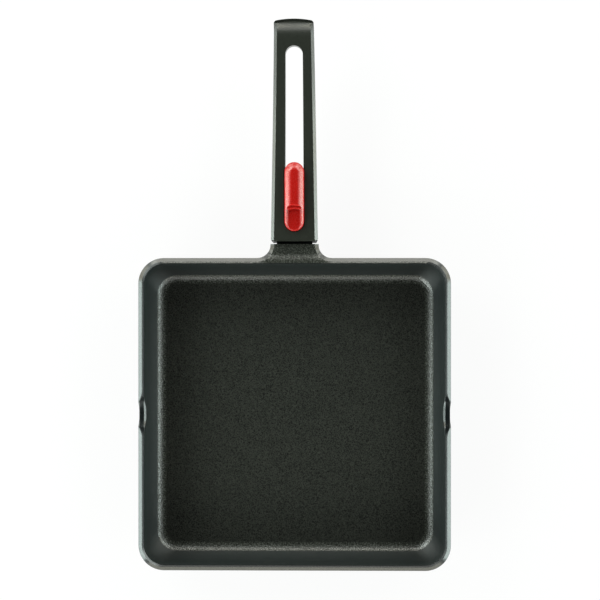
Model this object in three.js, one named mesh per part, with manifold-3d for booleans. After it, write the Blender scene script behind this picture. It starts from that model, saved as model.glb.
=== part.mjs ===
import * as THREE from 'three';
import { mergeVertices } from 'three/addons/utils/BufferGeometryUtils.js';
import Module from 'manifold-3d';

// Square cast griddle pan with a hook-on handle. Millimetres, +Z up.
// Origin: centre of the base, on the surface that the pan stands on. +Y runs towards the handle.
// The handle's own pieces are drawn in a group at the middle of its front edge, on its top face.

const wasm = await Module();
wasm.setup();

// Clearance that mating pieces keep, and how far a cutter runs past what it cuts
const clearance = 0.3;
const overrun = 1;

// Pan casting: a rounded square with a chamfered rim, sloping walls and a smooth floor
const panSide = 280;
const panHeight = 40;
const rimCorner = 23;
const cornerShrink = 0.5;
const rimChamfer = 3.4;
const rimChamferDrop = 3.8;
const rimFlat = 1.8;
const rimCrest = 0.95;
const floorThickness = 6;
const innerDraft = 19.7;
const wallHollow = 2.2;
const wallSteps = 3;
const outerDraft = 22.5;
const floorFillet = 8;
const baseFillet = 8;
const cornerSteps = 8;
const filletSteps = 5;

// Facets of round pieces and curved outlines
const rodSides = 16;
const pinSides = 20;
const spoutSides = 80;
const holeSegments = 5;
const outlineSegments = 8;
const tipSegments = 16;

// Pouring dips in the middle of the left and right rims
const spoutLength = 34;
const spoutDepth = 4.5;

// Perforated steel plate, flush in the underside
const plateSide = 196;
const plateThickness = 1.6;
const plateCorner = 16;
const plateHole = 6;
const plateHoleRows = 7;
const plateHolePitch = 25;
const plateSolidRows = 3;

// Lug on the +Y wall
const lugWidth = 43;
const lugReach = 12.5;
const lugDepth = 20;
const lugFillet = 12;
const lugEmbed = 1.5;
const lugSteps = 6;
const lugDrop = 2.6;
const lugDropRun = 9.5;
const lugFront = panSide / 2 + lugReach;

// Handle moulding
const handleGap = 2.8;
const handleLength = 196.4;
const handleFrontWidth = 42.1;
const handleEndWidth = 35.3;
const frontLean = 1.9;
const handleDepth = 18;
const gripDepth = 16;
const tipDepth = 11;
const edgeBand = 2.75;
const edgeBandDrop = 2.7;
const bandFade = 5;
const bandTip = 1.6;
const sideLean = 1.2;
const bellyRadius = 3.5;
const bellySteps = 3;
const bendStart = 80;
const bendRadius = 420;
const lipRun = 10;
const lipTopRun = 2.5;
const lipCrest = 1.9;
const lipSlope = 0.85;
const tipArcRadius = 80;
const tipCorner = 2.5;
const tipCornerShares = [0.5, 0.87, 0.99];
const gripSteps = 10;
const lipShares = [0.35, 0.6, 0.8, 1];
const frontWall = 3;

// Through slot in the grip, for hanging
const slotFrontWidth = 16.4;
const slotEndWidth = 15.4;
const slotEnd = 173.4;

// Steel tongue that the lug carries, with an upturned hook at its end
const tongueWidth = 32;
const hookWidth = 18;
const tongueThickness = 2.5;
const tongueDrop = 9;
const tongueSeat = 11.5;
const tongueShoulder = 4.9;
const tongueTiltRoom = 1.2;
const tongueReach = 22.7;
const hookThickness = 2.5;
const hookRise = 3.5;
const tongueScrewSpacing = 18;

// Pin in the handle that the hook catches on
const pinRadius = 2;
const pinLength = 28;

// Thumb slide
const slideWidth = 17.5;
const slideLength = 61.6;
const slideFront = 8.6;
const slideEdge = 0.6;
const slideWall = 1.5;
const slideCrown = 4.5;
const slideTravel = 8;
const slideShoeWidth = 15.6;
const slideShoeInset = 5;
const slideNeckWidth = 9.4;
const reliefDepth = 2;
const reliefMargin = 0.7;
const scoopFront = -2;
const scoopArch = 24;
const scoopArchRadius = 12.6;
const scoopRim = 0.6;
const scoopFloor = 1.9;
const scoopLedge = 4.4;
const scoopLedgeRun = 3.5;
const domeSteps = 6;
const endSteps = 10;

// Mechanism room inside the handle
const topWall = 4;
const roomWidth = 20;
const coverThickness = 2;
const rearWall = 4.5;
const springRoom = 18;
const boltThickness = 2;
const boltWidth = 16;
const boltSpare = 0.5;
const carriageLength = 17.4;
const carriageWidth = 16;
const carriageLead = 1.6;

// Return spring and its guide pin
const springRadius = 3;
const springWire = 0.7;
const springCurls = 9;
const springSeat = 1.5;
const guideRadius = 1.7;
const guideSeat = 3;
const guideSpare = 1;

// Bottom cover
const coverWidth = 30.4;
const coverCorner = 3;
const coverOverlap = 2;
const postWidth = 3.5;

// Screws: countersunk ones in the cover, pan heads under the slide, sunk cap heads under the lug
const coverScrewShank = 1.25;
const coverScrewHead = 2.3;
const coverScrewHeadHeight = 1.4;
const coverScrewLength = 10;
const coverScrewSpacing = 24.8;
const coverScrewInset = 5.2;
const slideScrewShank = 1.25;
const slideScrewHead = 2.2;
const slideScrewHeadHeight = 1.5;
const slideScrewSpacing = 8;
const slideScrewInset = 4.7;
const slideScrewTip = 0.6;
const tongueScrewShank = 2;
const tongueScrewHead = 3.5;
const tongueScrewHeadHeight = 3;
const tongueScrewSink = 1;
const tongueScrewTip = 6;

// Heights in the handle's frame, counted from its top face
const roomTop = -topWall;
const coverTop = -handleDepth + coverThickness;
const reliefFloor = -reliefDepth;
const tongueTop = -tongueDrop;
const tongueBottom = tongueTop - tongueThickness;
const boltTop = tongueBottom - clearance;
const boltBottom = boltTop - boltThickness;
const carriageTop = roomTop - clearance;
const pinHeight = tongueTop + clearance + pinRadius;
const springHeight = (carriageTop + boltTop) / 2;
const slideScrewBase = boltBottom - slideScrewHeadHeight;
const slideScrewLength = -slideScrewTip - slideScrewBase;
const tongueScrewLength = lugDepth - tongueScrewTip;

// Places along the handle, counted from its front face
const tongueRoot = -handleGap - tongueSeat;
const pinPlace = tongueReach - hookThickness - clearance - pinRadius;
const boltFront = tongueReach + boltSpare - slideTravel;
const carriageFront = tongueReach + carriageLead;
const carriageRear = carriageFront + carriageLength;
const roomRear = carriageRear + springRoom;
const slotFront = roomRear + rearWall;
const coverFront = frontWall + clearance;
const coverRear = roomRear + coverOverlap;
const slideRear = slideFront + slideLength;
const tongueScrewPlace = tongueRoot + tongueSeat / 2;
const slideScrewPlaces = [0, slideScrewSpacing].map((step) => carriageFront + slideScrewInset + step);
const coverScrewPlaces = [coverFront + coverScrewInset, coverRear - coverScrewInset];

// Finishes, as the photograph shows them
function finish(color, roughness, metalness) {
  return new THREE.MeshStandardMaterial({ color, roughness, metalness });
}

const nonStick = finish(0x23262a, 0.42, 0.2);
const phenolic = finish(0x2f312d, 0.5, 0);
const redPlastic = finish(0xd8342b, 0.3, 0);
const steel = finish(0xb9bdbf, 0.32, 1);
const darkSteel = finish(0x6d7072, 0.4, 1);
const blackSteel = finish(0x1c1d1e, 0.45, 1);
const nylon = finish(0x3a3b3a, 0.55, 0);

const radians = THREE.MathUtils.degToRad;

function solid(geometry) {
  const bare = geometry.clone();
  bare.deleteAttribute('normal');
  bare.deleteAttribute('uv');
  const merged = mergeVertices(bare, 1e-4);
  const mesh = new wasm.Mesh({
    numProp: 3,
    vertProperties: new Float32Array(merged.attributes.position.array),
    triVerts: new Uint32Array(merged.index.array),
  });
  return new wasm.Manifold(mesh);
}

function piece(name, body, material) {
  let geometry = body;
  if (!body.isBufferGeometry) {
    const mesh = body.getMesh();
    geometry = new THREE.BufferGeometry();
    geometry.setAttribute('position', new THREE.BufferAttribute(mesh.vertProperties, 3));
    geometry.setIndex(new THREE.BufferAttribute(mesh.triVerts, 1));
    geometry.computeVertexNormals();
  }
  const part = new THREE.Mesh(geometry, material);
  part.name = name;
  return part;
}

function cut(body, ...cutters) {
  return cutters.reduce((left, cutter) => left.subtract(cutter), body);
}

function block(x0, x1, y0, y1, z0, z1) {
  const geometry = new THREE.BoxGeometry(x1 - x0, y1 - y0, z1 - z0);
  geometry.translate((x0 + x1) / 2, (y0 + y1) / 2, (z0 + z1) / 2);
  return solid(geometry);
}

// Round bar along an axis
function rod(radius, length, axis, centre, sides = rodSides) {
  const geometry = new THREE.CylinderGeometry(radius, radius, length, sides);
  if (axis === 'x') geometry.rotateZ(Math.PI / 2);
  if (axis === 'z') geometry.rotateX(Math.PI / 2);
  geometry.translate(...centre);
  return geometry;
}

// Outline seen from above, drawn out between two heights
function prism(shape, z0, z1, curveSegments = outlineSegments) {
  const geometry = new THREE.ExtrudeGeometry(shape, { depth: z1 - z0, bevelEnabled: false, curveSegments });
  geometry.translate(0, 0, z0);
  return geometry;
}

// Closed body through rings with equal numbers of points; cap gives the triangles that close an end.
function loft(rings, cap) {
  const count = rings[0].length;
  const positions = rings.flat().flatMap((point) => [point.x, point.y, point.z]);
  const indices = [];
  for (let r = 0; r < rings.length - 1; r += 1) {
    for (let i = 0; i < count; i += 1) {
      const a = r * count + i;
      const b = r * count + ((i + 1) % count);
      indices.push(a, b, b + count, a, b + count, a + count);
    }
  }
  const top = (rings.length - 1) * count;
  for (const [i, j, k] of cap(rings[0])) indices.push(k, j, i);
  for (const [i, j, k] of cap(rings[rings.length - 1])) indices.push(top + i, top + j, top + k);
  const geometry = new THREE.BufferGeometry();
  geometry.setAttribute('position', new THREE.Float32BufferAttribute(positions, 3));
  geometry.setIndex(indices);
  return geometry;
}

// Caps seen from above or from behind, and a ladder between the two halves of a mirrored ring
const flatCap = (flatten) => (ring) => THREE.ShapeUtils.triangulateShape(ring.map(flatten), []);
const fromAbove = flatCap((point) => new THREE.Vector2(point.x, point.y));
const fromBehind = flatCap((point) => new THREE.Vector2(-point.x, point.z));
const ladder = (ring) => {
  const rungs = [];
  for (let i = 0; i < ring.length / 2 - 1; i += 1) {
    const far = ring.length - 1 - i;
    rungs.push([i, i + 1, far - 1], [i, far - 1, far]);
  }
  return rungs;
};

// Arc that rounds the corner between two straight runs of a profile
function roundedCorner(before, corner, after, radius, steps) {
  const back = before.clone().sub(corner).normalize();
  const on = after.clone().sub(corner).normalize();
  const half = Math.acos(back.dot(on)) / 2;
  const middle = back.clone().add(on).normalize();
  const centre = corner.clone().addScaledVector(middle, radius / Math.sin(half));
  const start = corner.clone().addScaledVector(back, radius / Math.tan(half)).sub(centre);
  const end = corner.clone().addScaledVector(on, radius / Math.tan(half)).sub(centre);
  const turn = Math.atan2(start.x * end.y - start.y * end.x, start.dot(end));
  const points = [];
  for (let i = 0; i <= steps; i += 1) {
    points.push(start.clone().rotateAround(new THREE.Vector2(), (turn * i) / steps).add(centre));
  }
  return points;
}

// Rounded square outline seen from above, anticlockwise
function squareRing(half, corner, z) {
  const ring = [];
  for (let quarter = 0; quarter < 4; quarter += 1) {
    const sx = quarter === 0 || quarter === 3 ? 1 : -1;
    const sy = quarter < 2 ? 1 : -1;
    for (let i = 0; i <= cornerSteps; i += 1) {
      const angle = ((quarter + i / cornerSteps) * Math.PI) / 2;
      const x = sx * (half - corner) + corner * Math.cos(angle);
      const y = sy * (half - corner) + corner * Math.sin(angle);
      ring.push(new THREE.Vector3(x, y, z));
    }
  }
  return ring;
}

// Distance of the pan's outer and inner walls from its middle at a height
const widestHeight = panHeight - rimChamferDrop;
const rimInside = panSide / 2 - rimChamfer - rimFlat;
const outerWall = (z) => panSide / 2 - (widestHeight - z) * Math.tan(radians(outerDraft));
const innerWall = (z) => {
  const share = (panHeight - z) / (panHeight - floorThickness);
  const hollow = 4 * wallHollow * share * (1 - share);
  return rimInside - (panHeight - z) * Math.tan(radians(innerDraft)) + hollow;
};

function roundedSquare(side, corner) {
  const shape = new THREE.Shape();
  const inner = side / 2 - corner;
  shape.absarc(inner, inner, corner, 0, Math.PI / 2);
  shape.absarc(-inner, inner, corner, Math.PI / 2, Math.PI);
  shape.absarc(-inner, -inner, corner, Math.PI, 1.5 * Math.PI);
  shape.absarc(inner, -inner, corner, 1.5 * Math.PI, 2 * Math.PI);
  shape.closePath();
  return shape;
}

function stadium(halfWidth, y0, y1) {
  const shape = new THREE.Shape();
  shape.absarc(0, y1 - halfWidth, halfWidth, 0, Math.PI);
  shape.absarc(0, y0 + halfWidth, halfWidth, Math.PI, 2 * Math.PI);
  shape.closePath();
  return shape;
}

function panShell() {
  const at = (distance, height) => new THREE.Vector2(distance, height);
  const wallFoot = floorThickness + 2 * floorFillet;
  const wall = [];
  for (let i = 0; i < wallSteps; i += 1) {
    const z = THREE.MathUtils.lerp(panHeight, wallFoot, i / wallSteps);
    wall.push(at(innerWall(z), z));
  }
  const foot = at(innerWall(wallFoot), wallFoot);
  const corner = at(innerWall(floorThickness), floorThickness);
  const profile = [
    ...roundedCorner(at(0, 0), at(outerWall(0), 0), at(panSide / 2, widestHeight), baseFillet, filletSteps),
    at(panSide / 2, widestHeight),
    at(panSide / 2 - rimChamfer, panHeight - rimCrest),
    ...wall,
    foot,
    ...roundedCorner(foot, corner, at(0, floorThickness), floorFillet, filletSteps),
  ];
  const cornerAt = (distance) => rimCorner - cornerShrink * (panSide / 2 - distance);
  return solid(loft(profile.map((p) => squareRing(p.x, cornerAt(p.x), p.y)), fromAbove));
}

// Round dip through the rim, deepest in the middle of its side
function spoutCutter(side) {
  const radius = (spoutLength ** 2 / 4 + spoutDepth ** 2) / (2 * spoutDepth);
  const reach = 2 * (panSide / 2 - innerWall(panHeight - spoutDepth) + overrun);
  const centre = [(side * panSide) / 2, 0, panHeight - spoutDepth + radius];
  return solid(rod(radius, reach, 'x', centre, spoutSides));
}

// How far the lug's top has sunk below the rim at a place
function lugSink(x, y) {
  const start = panSide / 2 - rimChamfer;
  const forward = THREE.MathUtils.smoothstep(y, start, start + lugDropRun);
  return lugDrop * forward * (1 - THREE.MathUtils.smoothstep(x, lugWidth / 2, lugWidth / 2 + lugFillet));
}

// One level of the lug: its sides flare into the wall, and inset draws the chamfer in at the top
function lugRing(z, inset, sinks) {
  const fillet = Math.min(lugFillet, lugReach - overrun / 2);
  const wall = Math.min(outerWall(z), panSide / 2);
  const centre = new THREE.Vector2(lugWidth / 2 + fillet, wall + fillet);
  const right = [new THREE.Vector3(centre.x, innerWall(z) + lugEmbed, z)];
  for (let i = 0; i <= lugSteps; i += 1) {
    const angle = -Math.PI / 2 - (i / lugSteps) * (Math.PI / 2);
    const x = centre.x + (fillet + inset) * Math.cos(angle);
    const y = centre.y + (fillet + inset) * Math.sin(angle);
    right.push(new THREE.Vector3(x, y, z));
  }
  right.push(new THREE.Vector3(lugWidth / 2 - inset, lugFront, z));
  if (sinks) right.forEach((point) => point.setZ(z - lugSink(point.x, point.y)));
  const left = right.map((point) => new THREE.Vector3(-point.x, point.y, point.z)).reverse();
  return [...right, ...left];
}

function panBody() {
  const lug = solid(loft([
    lugRing(panHeight - lugDepth, 0, false),
    lugRing(widestHeight, 0, true),
    lugRing(panHeight - rimCrest, rimChamfer, true),
  ], ladder));
  const recessOutline = roundedSquare(plateSide + 2 * clearance, plateCorner + clearance);
  const recess = prism(recessOutline, -overrun, plateThickness);
  const seat = block(
    -tongueWidth / 2 - clearance,
    tongueWidth / 2 + clearance,
    lugFront - tongueSeat - clearance,
    lugFront + overrun,
    panHeight + tongueBottom - clearance,
    panHeight + tongueTop + clearance,
  );
  const holes = [-1, 1].map((side) => {
    const hole = solid(tongueScrew(clearance));
    return hole.translate([(side * tongueScrewSpacing) / 2, lugFront - tongueSeat / 2, panHeight - lugDepth]);
  });
  return cut(panShell().add(lug), spoutCutter(-1), spoutCutter(1), solid(recess), seat, ...holes);
}

function inductionPlate() {
  const shape = roundedSquare(plateSide, plateCorner);
  const middle = (plateHoleRows - 1) / 2;
  for (let row = 0; row < plateHoleRows; row += 1) {
    for (let column = 0; column < plateHoleRows; column += 1) {
      const offCentre = Math.max(Math.abs(row - middle), Math.abs(column - middle));
      if (offCentre > plateSolidRows / 2) {
        const hole = new THREE.Path();
        const x = (column - middle) * plateHolePitch;
        const y = (row - middle) * plateHolePitch;
        hole.absarc(x, y, plateHole / 2, 0, 2 * Math.PI, true);
        shape.holes.push(hole);
      }
    }
  }
  return prism(shape, 0, plateThickness, holeSegments);
}

// Turned piece from half its section, given as radius and height, standing on z = 0
function turned(section) {
  const geometry = new THREE.LatheGeometry(section.map(([r, z]) => new THREE.Vector2(r, z)), rodSides);
  geometry.rotateX(Math.PI / 2);
  return geometry;
}

// Each screw points up from the face that it enters. A margin turns it into its own hole.
function tongueScrew(margin = 0) {
  const head = tongueScrewHead + margin;
  const shank = tongueScrewShank + margin;
  const base = margin > 0 ? -overrun : tongueScrewSink;
  const seat = tongueScrewSink + tongueScrewHeadHeight;
  const tip = tongueScrewLength + margin;
  return turned([[0, base], [head, base], [head, seat], [shank, seat], [shank, tip], [0, tip]]);
}

function coverScrew(margin = 0) {
  const head = coverScrewHead + margin;
  const shank = coverScrewShank + margin;
  const tip = coverScrewLength + margin;
  const mouth = margin > 0 ? [[0, -overrun], [head, -overrun]] : [[0, 0]];
  return turned([...mouth, [head, 0], [shank, coverScrewHeadHeight], [shank, tip], [0, tip]]);
}

function slideScrew() {
  const head = slideScrewHead;
  const shank = slideScrewShank;
  const seat = slideScrewHeadHeight;
  const tip = slideScrewLength;
  return turned([[0, 0], [head, 0], [head, seat], [shank, seat], [shank, tip], [0, tip]]);
}

function lugTongue() {
  const outline = new THREE.Shape();
  outline.moveTo(-tongueWidth / 2, tongueRoot);
  outline.lineTo(tongueWidth / 2, tongueRoot);
  outline.lineTo(tongueWidth / 2, tongueShoulder);
  outline.lineTo(hookWidth / 2, tongueShoulder);
  outline.lineTo(hookWidth / 2, tongueReach);
  outline.lineTo(-hookWidth / 2, tongueReach);
  outline.lineTo(-hookWidth / 2, tongueShoulder);
  outline.lineTo(-tongueWidth / 2, tongueShoulder);
  outline.closePath();
  const strip = solid(prism(outline, tongueBottom, tongueTop));
  const hook = block(
    -hookWidth / 2,
    hookWidth / 2,
    tongueReach - hookThickness,
    tongueReach,
    tongueBottom,
    tongueTop + hookRise,
  );
  const holes = [-1, 1].map((side) => {
    const centre = [(side * tongueScrewSpacing) / 2, tongueScrewPlace, (tongueTop + tongueBottom) / 2];
    return solid(rod(tongueScrewShank + clearance, tongueThickness + 2 * overrun, 'z', centre));
  });
  return cut(strip.add(hook), ...holes);
}

// Half width, top and underside of the handle at a place along it
const tipSag = tipArcRadius - Math.sqrt(tipArcRadius ** 2 - handleEndWidth ** 2 / 4);
const tipCornerStart = handleLength - tipSag - tipCorner;
const handleHalf = (y) => {
  const share = THREE.MathUtils.clamp(y / handleLength, 0, 1);
  const round = THREE.MathUtils.clamp(y - tipCornerStart, 0, tipCorner);
  const corner = tipCorner - Math.sqrt(tipCorner ** 2 - round ** 2);
  return THREE.MathUtils.lerp(handleFrontWidth, handleEndWidth, share) / 2 - corner;
};
const bendRise = (y) => Math.max(0, y - bendStart) ** 2 / (2 * bendRadius);
const lipStart = handleLength - lipCrest - lipTopRun - lipRun;
const lipRise = (y) => {
  const concave = THREE.MathUtils.clamp(y - lipStart, 0, lipRun);
  const convex = THREE.MathUtils.clamp(y - lipStart - lipRun, 0, lipTopRun);
  return (lipSlope * concave ** 2) / (2 * lipRun) + lipSlope * (convex - convex ** 2 / (2 * lipTopRun));
};
const handleTopAt = (y) => bendRise(y) + lipRise(y);
const handleDepthAt = (y) => {
  const grip = THREE.MathUtils.smoothstep(y, coverRear + clearance, (slotFront + slotEnd) / 2);
  const tip = THREE.MathUtils.smoothstep(y, slotEnd - lipRun, handleLength);
  return handleDepth + (gripDepth - handleDepth) * grip + (tipDepth - gripDepth) * tip;
};

const handleLowest = -handleDepth - overrun;
const handleHighest = handleTopAt(handleLength) + overrun;

// Section of the handle: level top, sloping edge bands, leaning sides and a rounded belly.
// The front face leans towards the lug below its bands.
function handleRing(y) {
  const half = handleHalf(y);
  const top = handleTopAt(y);
  const bottom = bendRise(y) - handleDepthAt(y);
  const fade = 1 - THREE.MathUtils.smoothstep(y, handleLength - bandFade, handleLength);
  const band = Math.max(edgeBand * fade, bandTip);
  const drop = Math.max(edgeBandDrop * fade, bandTip);
  const low = y > 0 ? y : y - frontLean;
  const foot = half - sideLean - bellyRadius;
  const right = [new THREE.Vector3(half - band, y, top), new THREE.Vector3(half, y, top - drop)];
  for (let i = 0; i <= bellySteps; i += 1) {
    const angle = -(i / bellySteps) * (Math.PI / 2);
    const x = foot + bellyRadius * Math.cos(angle);
    const z = bottom + bellyRadius + bellyRadius * Math.sin(angle);
    right.push(new THREE.Vector3(x, low, z));
  }
  const left = right.map((point) => new THREE.Vector3(-point.x, point.y, point.z)).reverse();
  return [...right, ...left];
}

function handleBlank() {
  const places = [0, coverRear + clearance];
  for (let i = 0; i <= gripSteps; i += 1) {
    places.push(THREE.MathUtils.lerp(bendStart, lipStart, i / gripSteps));
  }
  for (const share of lipShares) places.push(lipStart + lipRun * share);
  places.push(lipStart + lipRun + lipTopRun / 2);
  for (const share of tipCornerShares) places.push(tipCornerStart + tipCorner * share);
  places.push(handleLength - lipCrest);
  places.push(handleLength + overrun);
  places.sort((a, b) => a - b);
  const bar = solid(loft(places.map(handleRing), fromBehind));
  const half = handleFrontWidth / 2 + overrun;
  const start = Math.acos(half / tipArcRadius);
  const outline = new THREE.Shape();
  outline.moveTo(-half, -frontLean - overrun);
  outline.lineTo(half, -frontLean - overrun);
  outline.absarc(0, handleLength - tipArcRadius, tipArcRadius, start, Math.PI - start);
  outline.closePath();
  return bar.intersect(solid(prism(outline, handleLowest, handleHighest, tipSegments)));
}

function slotCutter() {
  const endRadius = slotEndWidth / 2;
  const shape = new THREE.Shape();
  shape.moveTo(-slotFrontWidth / 2, slotFront);
  shape.lineTo(slotFrontWidth / 2, slotFront);
  shape.absarc(0, slotEnd - endRadius, endRadius, 0, Math.PI);
  shape.closePath();
  return solid(prism(shape, handleLowest, handleHighest));
}

function coverOutline(margin) {
  const half = coverWidth / 2 + margin;
  const corner = coverCorner + margin;
  const y0 = coverFront - margin;
  const y1 = coverRear + margin;
  const shape = new THREE.Shape();
  shape.absarc(half - corner, y1 - corner, corner, 0, Math.PI / 2);
  shape.absarc(corner - half, y1 - corner, corner, Math.PI / 2, Math.PI);
  shape.absarc(corner - half, y0 + corner, corner, Math.PI, 1.5 * Math.PI);
  shape.absarc(half - corner, y0 + corner, corner, 1.5 * Math.PI, 2 * Math.PI);
  shape.closePath();
  return shape;
}

// Slot in each side wall that the catch pin is lifted into from below
function pinCradle() {
  const radius = pinRadius + clearance;
  const reach = pinLength + 2 * clearance;
  const round = solid(rod(radius, reach, 'x', [0, pinPlace, pinHeight], pinSides));
  const near = pinPlace - radius;
  const shaft = block(-reach / 2, reach / 2, near, near + 2 * radius, coverTop - overrun, pinHeight);
  return round.add(shaft);
}

function coverScrewSpots() {
  return coverScrewPlaces.flatMap((y) => [[-coverScrewSpacing / 2, y], [coverScrewSpacing / 2, y]]);
}

// Mouth for the tongue, whose floor falls away inwards so that the handle can tilt off
function tonguePocket() {
  const low = tongueBottom - clearance;
  const high = tongueTop + clearance;
  const end = tongueShoulder + clearance;
  const side = new THREE.Shape();
  side.moveTo(-frontLean - overrun, low);
  side.lineTo(0, low);
  side.lineTo(end, low - tongueTiltRoom);
  side.lineTo(end, high);
  side.lineTo(-frontLean - overrun, high);
  side.closePath();
  const width = tongueWidth + 2 * clearance;
  const geometry = new THREE.ExtrudeGeometry(side, { depth: width, bevelEnabled: false });
  geometry.rotateY(Math.PI / 2);
  geometry.rotateX(Math.PI / 2);
  geometry.translate(-width / 2, 0, 0);
  return solid(geometry);
}

function handleBody() {
  const relief = prism(
    stadium(slideWidth / 2 + reliefMargin, slideFront - reliefMargin, slideRear + reliefMargin),
    reliefFloor,
    overrun,
    endSteps,
  );
  const room = block(-roomWidth / 2, roomWidth / 2, frontWall, roomRear, coverTop - overrun, roomTop);
  const guideSlot = block(
    -slideNeckWidth / 2 - clearance,
    slideNeckWidth / 2 + clearance,
    carriageFront - clearance,
    carriageRear + slideTravel + clearance,
    roomTop - overrun,
    reliefFloor + overrun,
  );
  const guideLength = guideSeat + clearance + overrun;
  const guideCentre = [0, roomRear - overrun + guideLength / 2, springHeight];
  const guideHole = solid(rod(guideRadius + clearance, guideLength, 'y', guideCentre));
  const screwHoles = coverScrewSpots().map(([x, y]) => {
    return solid(coverScrew(clearance)).translate([x, y, -handleDepth]);
  });
  return cut(
    handleBlank(),
    slotCutter(),
    solid(relief),
    solid(prism(coverOutline(clearance), handleLowest, coverTop)),
    room,
    tonguePocket(),
    guideSlot,
    pinCradle(),
    guideHole,
    ...screwHoles,
  );
}

function handleCover() {
  const plate = solid(prism(coverOutline(0), -handleDepth, coverTop));
  const posts = [-1, 1].map((side) => {
    const inner = roomWidth / 2 + clearance;
    const low = side > 0 ? inner : -inner - postWidth;
    const top = pinHeight - pinRadius - clearance;
    const near = pinPlace - pinRadius;
    return block(low, low + postWidth, near, near + 2 * pinRadius, coverTop - overrun, top);
  });
  const holes = coverScrewSpots().map(([x, y]) => {
    return solid(coverScrew(clearance)).translate([x, y, -handleDepth]);
  });
  return cut(plate.add(posts[0]).add(posts[1]), ...holes);
}

function stadiumRing(halfWidth, y0, y1, z) {
  const ring = [];
  for (const [centre, start] of [[y1, 0], [y0, Math.PI]]) {
    for (let i = 0; i <= endSteps; i += 1) {
      const angle = start + (i / endSteps) * Math.PI;
      ring.push(new THREE.Vector3(halfWidth * Math.cos(angle), centre + halfWidth * Math.sin(angle), z));
    }
  }
  return ring;
}

// Thumb scoop seen from above: round in front, with a shallow arch across its far end
function scoopOutline(halfWidth, arch) {
  const front = slideFront + scoopFront + halfWidth;
  const spread = Math.asin(halfWidth / scoopArchRadius);
  const shape = new THREE.Shape();
  shape.absarc(0, arch - scoopArchRadius, scoopArchRadius, Math.PI / 2 - spread, Math.PI / 2 + spread);
  shape.absarc(0, front, halfWidth, Math.PI, 2 * Math.PI);
  shape.closePath();
  return shape;
}

// One step of the scoop, which runs out over the slide's front edge
function scoopCutter(arch, floor) {
  const outline = scoopOutline(slideWidth / 2 - scoopRim, arch);
  return solid(prism(outline, floor, floor + 2 * slideCrown, endSteps));
}

// Thumb slide: a domed capsule with a stepped thumb scoop that ends in an arched wall
function releaseSlide() {
  const half = slideWidth / 2;
  const wallAt = (y) => {
    const front = THREE.MathUtils.smoothstep(y, slideFront, slideFront + half);
    return slideWall * front * (1 - THREE.MathUtils.smoothstep(y, slideRear - half, slideRear));
  };
  const level = (share, z) => stadiumRing(half * share, slideFront + half, slideRear - half, z);
  const rings = [level(1, clearance)];
  const arc = (half ** 2 + slideCrown ** 2) / (2 * slideCrown);
  for (let i = 0; i < domeSteps; i += 1) {
    const share = 1 - i / domeSteps;
    const rise = Math.sqrt(arc ** 2 - (half * share) ** 2) - (arc - slideCrown);
    const ring = level(share, clearance + slideEdge + rise);
    ring.forEach((point) => point.setZ(point.z + wallAt(point.y)));
    rings.push(ring);
  }
  const dome = solid(loft(rings, fromAbove));
  const shoe = prism(
    stadium(slideShoeWidth / 2, slideFront + slideShoeInset, slideRear - slideShoeInset),
    reliefFloor + clearance,
    slideEdge,
    endSteps,
  );
  const neck = block(
    -slideNeckWidth / 2,
    slideNeckWidth / 2,
    carriageFront,
    carriageRear,
    carriageTop,
    slideEdge,
  );
  const arch = slideFront + scoopArch;
  const steps = [scoopCutter(arch, scoopLedge), scoopCutter(arch - scoopLedgeRun, scoopFloor)];
  return cut(dome.add(solid(shoe)).add(neck), ...steps, ...slideHoles());
}

// Holes for the screws that come up through bolt and carriage into the slide
function slideHoles() {
  return slideScrewPlaces.map((y) => {
    const length = slideScrewLength + clearance;
    const centre = [0, y, slideScrewBase + length / 2];
    return solid(rod(slideScrewShank + clearance, length, 'z', centre));
  });
}

function slideCarriage() {
  const half = carriageWidth / 2;
  const body = block(-half, half, carriageFront, carriageRear, boltTop, carriageTop);
  const seatLength = springSeat + overrun;
  const seatCentre = [0, carriageRear - springSeat + seatLength / 2, springHeight];
  const seat = solid(rod(springRadius + clearance, seatLength, 'y', seatCentre, pinSides));
  return cut(body, seat, ...slideHoles());
}

function blockingBolt() {
  const body = block(-boltWidth / 2, boltWidth / 2, boltFront, carriageRear, boltBottom, boltTop);
  return cut(body, ...slideHoles());
}

// Centre line of the return spring, along the handle
class SpringLine extends THREE.Curve {
  constructor(start, end, radius, curls, height) {
    super();
    Object.assign(this, { start, end, radius, curls, height });
  }

  getPoint(t, target = new THREE.Vector3()) {
    const angle = 2 * Math.PI * this.curls * t;
    const y = THREE.MathUtils.lerp(this.start, this.end, t);
    return target.set(this.radius * Math.cos(angle), y, this.height + this.radius * Math.sin(angle));
  }
}

// Smallest clear distance between neighbouring curls, measured on points of the centre line
function curlGap(line, steps) {
  const points = line.getPoints(steps * line.curls);
  let least = Infinity;
  for (let i = 0; i < points.length; i += 1) {
    for (let j = i + Math.ceil(steps / 2); j < points.length; j += 1) {
      least = Math.min(least, points[i].distanceTo(points[j]));
    }
  }
  return least - springWire;
}

function returnSpring() {
  const inset = clearance + springWire / 2;
  const start = carriageRear - springSeat + inset;
  const end = roomRear - inset;
  const line = new SpringLine(start, end, springRadius - springWire / 2, springCurls, springHeight);
  const section = new THREE.Shape();
  section.absarc(0, 0, springWire / 2, 0, 2 * Math.PI);
  const stepsPerCurl = 8;
  console.log(`return spring: least gap between curls ${curlGap(line, stepsPerCurl).toFixed(2)} mm`);
  return new THREE.ExtrudeGeometry(section, {
    extrudePath: line,
    steps: stepsPerCurl * springCurls,
    curveSegments: 3,
    bevelEnabled: false,
  });
}

function catchPin() {
  return rod(pinRadius, pinLength, 'x', [0, pinPlace, pinHeight], pinSides);
}

function guidePin() {
  const start = carriageRear + slideTravel + guideSpare;
  const end = roomRear + guideSeat;
  return rod(guideRadius, end - start, 'y', [0, (start + end) / 2, springHeight]);
}

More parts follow.
